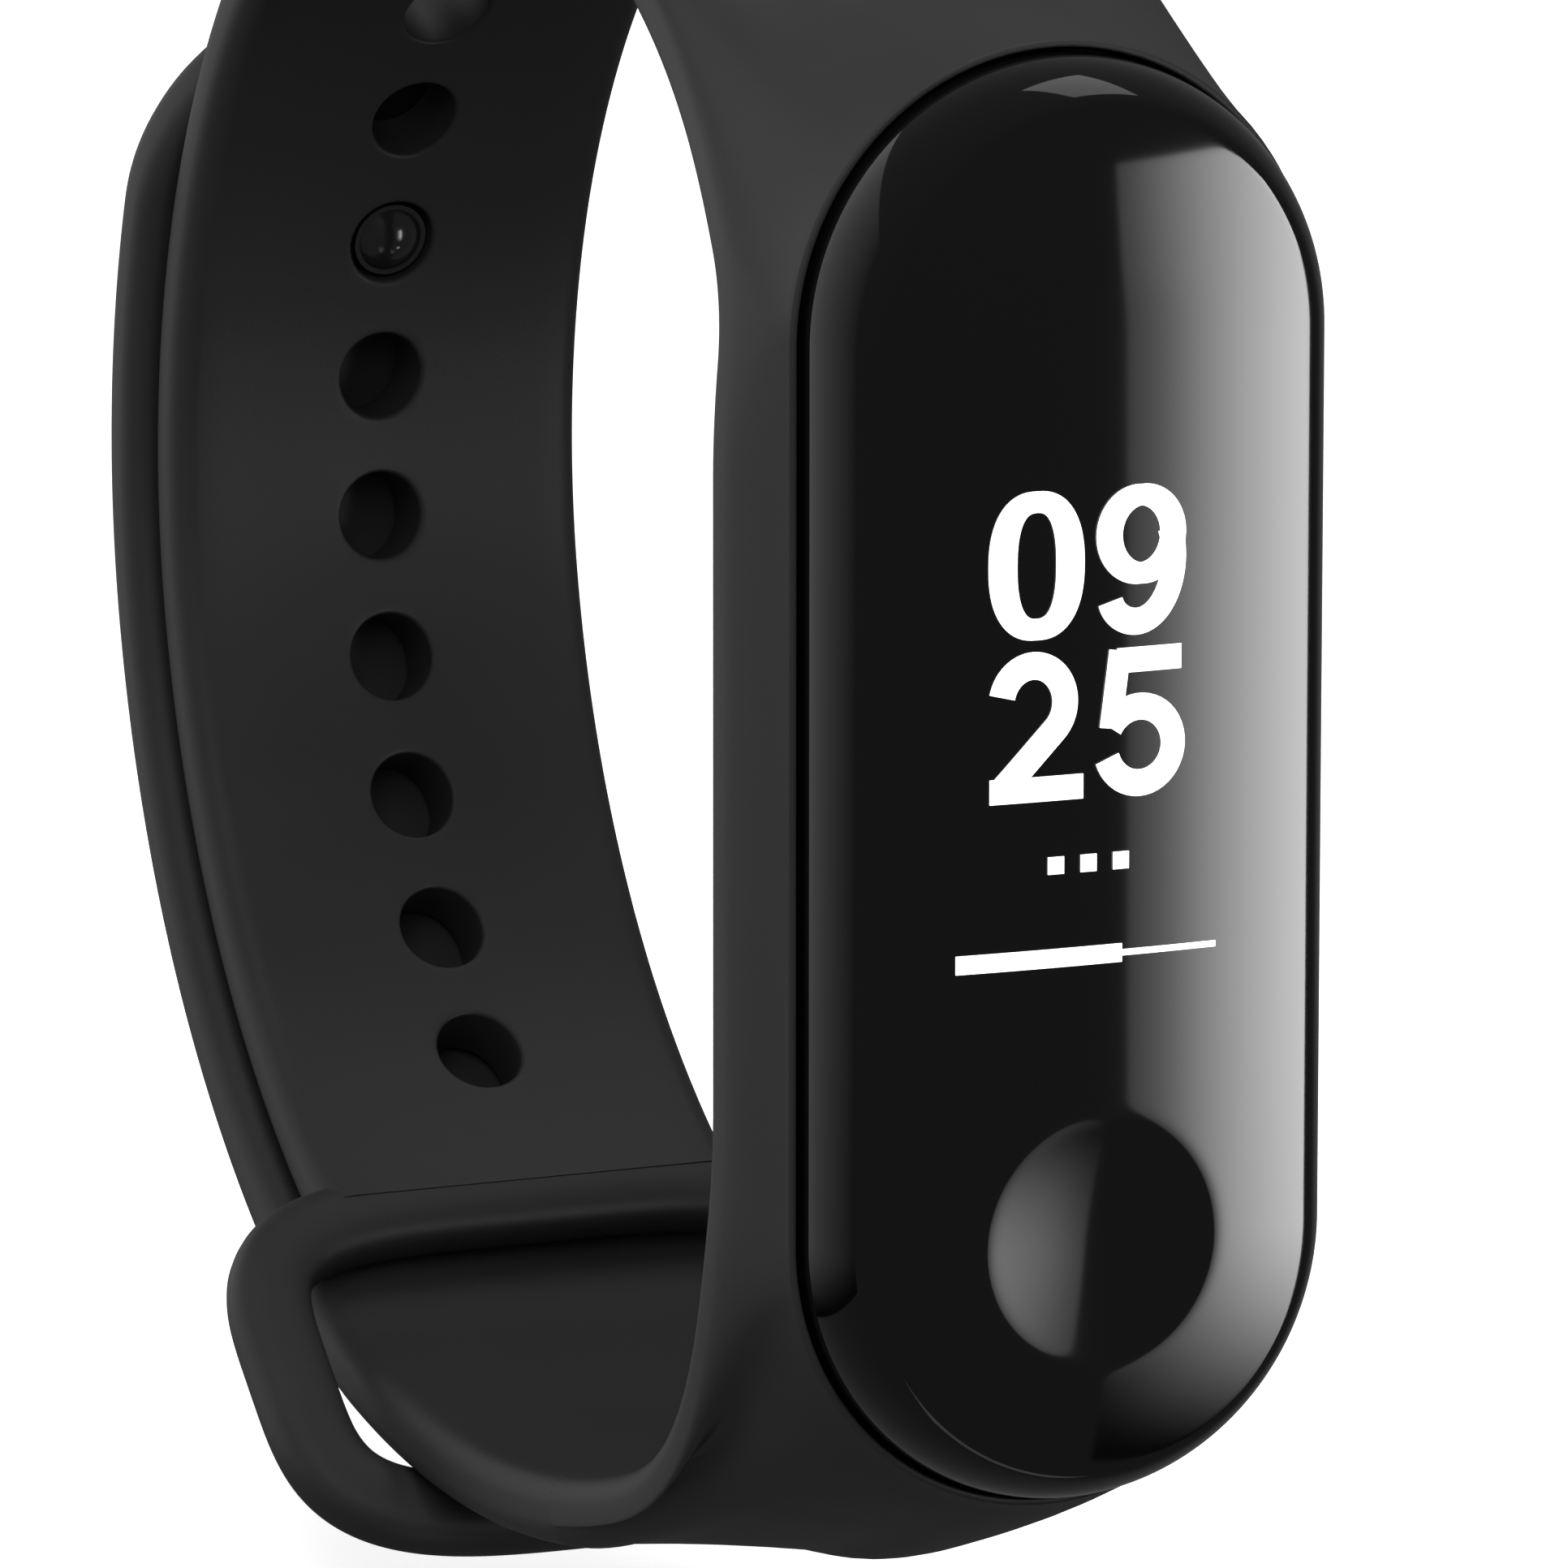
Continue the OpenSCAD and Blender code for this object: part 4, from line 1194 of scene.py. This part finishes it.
NUMERAL_FINISH = Finish("lit_numerals", (0.9, 0.9, 0.9), 0.4, specular=0.2, grain_depth_mm=0.0, glow=1.6)


class Wardrobe:
    """Makes each finish once and dresses pieces in it."""

    def __init__(self) -> None:
        """Makes every finish of the record's slots."""
        self.made = {slot: finish.make() for slot, finish in FINISHES.items()}

    def dress(self, piece: bpy.types.Object, slot: str) -> None:
        """Puts a slot's finish on a piece, in place of what it had."""
        piece.data.materials.clear()
        piece.data.materials.append(self.made[slot])

    def dress_nodes(self) -> None:
        """Dresses every CAD node in the finish of its own slot."""
        slots = {row["node"]: row["material_slot"] for row in frame["record"]["subparts"]}
        for name, node in frame["nodes"].items():
            self.dress(node, slots[name])


# ---------- studio ----------


@dataclass
class Studio:
    """The floor, the lights and the camera."""

    camera_at: tuple[float, float, float] = (-186.8, -397.1, 99.9)
    roll: float = 1.72
    right_way: tuple[float, float, float] = (0.9012, -0.4334, 0.0)
    up_way: tuple[float, float, float] = (0.1032, 0.2147, 0.9712)
    lens_mm: float = 304.7
    sensor_mm: float = 36.0
    clip_m: Pair = (0.01, 20.0)
    floor_z: float = -40.0
    floor_half: float = 3000.0
    floor_glow: float = 0.75
    lights_aim: tuple[float, float, float] = (0.0, -10.0, 0.0)
    cards_middle: Pair = (0.0, -32.0)
    card_bend: float = 1.3
    least_fade: float = 1e-4
    surround_seen: float = 1.0
    surround_lit: float = 0.13

    def add_camera(self) -> None:
        """Aims the camera by its right and up axes, rolled together about the view's axis."""
        data = bpy.data.cameras.new("view_camera")
        data.lens, data.sensor_width = self.lens_mm, self.sensor_mm
        data.clip_start, data.clip_end = self.clip_m
        camera = put_in_scene("view_camera", data)
        right, up = Vector(self.right_way), Vector(self.up_way)
        c, s = math.cos(math.radians(self.roll)), math.sin(math.radians(self.roll))
        right, up = c * right + s * up, c * up - s * right
        right.normalize()
        back = right.cross(up).normalized()
        up = back.cross(right)
        turn = Matrix((right, up, back)).transposed().to_4x4()
        camera.matrix_world = Matrix.Translation(Vector(self.camera_at) * MM) @ turn
        bpy.context.scene.camera = camera

    def add_area(self, name: str, at: tuple[float, float, float], size: Pair, power: float,
                 gloss: bool = False) -> None:
        """Adds a soft rectangular light that faces the object, and shows in its gloss only if asked to."""
        data = bpy.data.lights.new(name, "AREA")
        data.shape, data.size, data.size_y = "RECTANGLE", size[0] * MM, size[1] * MM
        data.energy = power
        light = put_in_scene(name, data)
        light.location = Vector(at) * MM
        light.visible_glossy = gloss
        light.rotation_euler = (Vector(self.lights_aim) - Vector(at)).to_track_quat("-Z", "Y").to_euler()

    def add_card(self, name: str, azimuth: float, spread: float, low_z: float, high_z: float,
                 far: float, glow: Pair, fade: float = 0.0) -> None:
        """Adds a glowing card that only gloss sees, standing round the capsule.

        Its glow runs from the first value at its left edge to the second at its right, slowly at first and
        then faster, and falls away smoothly over a share of its height at the bottom.

        Args:
            name: the card's name.
            azimuth: direction of its middle from the capsule, in degrees to the right of the front.
            spread: half the angle that it takes up.
            low_z: height of its lower edge.
            high_z: height of its upper edge.
            far: distance from the capsule.
            glow: strength at the left and the right edge.
            fade: share of the height over which the glow rises from nothing, from the bottom.
        """
        turn = math.radians(azimuth)
        ahead = np.array([math.sin(turn), -math.cos(turn)])
        side = np.array([math.cos(turn), math.sin(turn)])
        half = far * math.tan(math.radians(spread))
        middle = ahead * far + self.cards_middle
        corners = [(*(middle + side * half * k) * MM, z * MM)
                   for k, z in ((-1, low_z), (1, low_z), (1, high_z), (-1, high_z))]
        mesh = bpy.data.meshes.new(name)
        mesh.from_pydata(corners, [], [(3, 2, 1, 0)])
        uv = mesh.uv_layers.new(name="spread")
        uv.data.foreach_set("uv", (0, 1, 1, 1, 1, 0, 0, 0))
        material, nodes, links = new_material(name)
        nodes.clear()
        place, parts = nodes.new("ShaderNodeUVMap"), nodes.new("ShaderNodeSeparateXYZ")
        place.uv_map = "spread"
        links.new(place.outputs["UV"], parts.inputs["Vector"])
        across, rise = nodes.new("ShaderNodeMapRange"), nodes.new("ShaderNodeMapRange")
        across.inputs["To Min"].default_value, across.inputs["To Max"].default_value = glow
        bend = nodes.new("ShaderNodeMath")
        bend.operation = "POWER"
        bend.inputs[1].default_value = self.card_bend
        links.new(parts.outputs["X"], bend.inputs[0])
        links.new(bend.outputs["Value"], across.inputs["Value"])
        rise.interpolation_type = "SMOOTHSTEP"
        rise.inputs["From Max"].default_value = max(fade, self.least_fade)
        links.new(parts.outputs["Y"], rise.inputs["Value"])
        both, lit = nodes.new("ShaderNodeMath"), nodes.new("ShaderNodeEmission")
        both.operation = "MULTIPLY"
        links.new(across.outputs["Result"], both.inputs[0])
        links.new(rise.outputs["Result"], both.inputs[1])
        links.new(both.outputs["Value"], lit.inputs["Strength"])
        out = nodes.new("ShaderNodeOutputMaterial")
        links.new(lit.outputs["Emission"], out.inputs["Surface"])
        mesh.materials.append(material)
        card = put_in_scene(name, mesh)
        card.visible_camera = card.visible_shadow = card.visible_diffuse = False

    def add_floor(self) -> None:
        """Adds the pale floor, which the camera sees but which neither lights the piece nor shows in its
        gloss.
        """
        mesh = bpy.data.meshes.new("floor")
        half, z = self.floor_half * MM, self.floor_z * MM
        corners = [(half * x, half * y, z) for x, y in ((-1, -1), (1, -1), (1, 1), (-1, 1))]
        mesh.from_pydata(corners, [], [(0, 1, 2, 3)])
        floor = put_in_scene("floor", mesh)
        material, nodes, _ = new_material("pale_floor")
        fill(nodes["Principled BSDF"], {"Base Color": (0.92, 0.92, 0.92, 1), "Roughness": 0.9,
                                        "Emission Color": WHITE, "Emission Strength": self.floor_glow})
        mesh.materials.append(material)
        floor.visible_glossy = floor.visible_diffuse = False

    def add_world(self) -> None:
        """A white surround to look at, and a dim one to light by."""
        world = bpy.data.worlds.new("studio_surround")
        bpy.context.scene.world = world
        world.use_nodes = True
        nodes, links = world.node_tree.nodes, world.node_tree.links
        nodes.clear()
        seen, lit = (fill(nodes.new("ShaderNodeBackground"), {"Color": WHITE, "Strength": strength})
                     for strength in (self.surround_seen, self.surround_lit))
        path, mix, out = (nodes.new(k) for k in ("ShaderNodeLightPath", "ShaderNodeMixShader",
                                                 "ShaderNodeOutputWorld"))
        links.new(path.outputs["Is Camera Ray"], mix.inputs["Fac"])
        links.new(lit.outputs["Background"], mix.inputs[1])
        links.new(seen.outputs["Background"], mix.inputs[2])
        links.new(mix.outputs["Shader"], out.inputs["Surface"])

    def build(self) -> None:
        """Sets the whole studio."""
        self.add_world()
        self.add_floor()
        self.add_camera()
        self.add_card("right_card", 34.0, 6.6, -190, 52, 450, (1.1, 14.0), fade=0.5)
        self.add_card("left_card", -131.0, 45.0, -260, 330, 420, (0.95, 0.12), fade=0.35)
        self.add_card("low_card", 0.0, 34.0, -620, -330, 300, (0.8, 0.8))
        self.add_area("key_softbox", (-120, -420, 320), (420, 420), 1.9)
        self.add_area("top_softbox", (0, -60, 420), (300, 200), 0.9)
        self.add_area("left_strip", (-400, 170, 40), (60, 400), 0.9)
        self.add_area("rim_strip", (170, 60, 420), (240, 160), 0.16, gloss=True)
        bpy.context.scene.view_settings.view_transform = "Standard"


def main() -> None:
    """Builds the strap, the capsule and the studio, and dresses them."""
    logging.basicConfig(level=logging.INFO, format="%(name)s: %(message)s")
    wardrobe = Wardrobe()
    wardrobe.dress_nodes()
    Studio().build()

    moulding = StrapMoulding().build()
    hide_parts("strap_frame", "band_upper", "band_lower")
    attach(moulding, "strap")
    loop = StrapLoop().build()
    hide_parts("strap_loop")
    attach(loop, "strap")
    tail = TailStrap().build()
    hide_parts("tail_belly", "tail_dip", "tail_rear", "tail_tip")
    for piece in (moulding, loop, tail):
        wardrobe.dress(piece, "strap_rubber")

    lens = CapsuleLens().build()
    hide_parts("front_lens")
    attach(lens, "capsule")
    wardrobe.dress(lens, "lens_gloss")
    readout = Readout().build()
    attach(readout, "capsule")
    readout.data.materials.append(NUMERAL_FINISH.make())


if __name__ == "__main__":
    main()
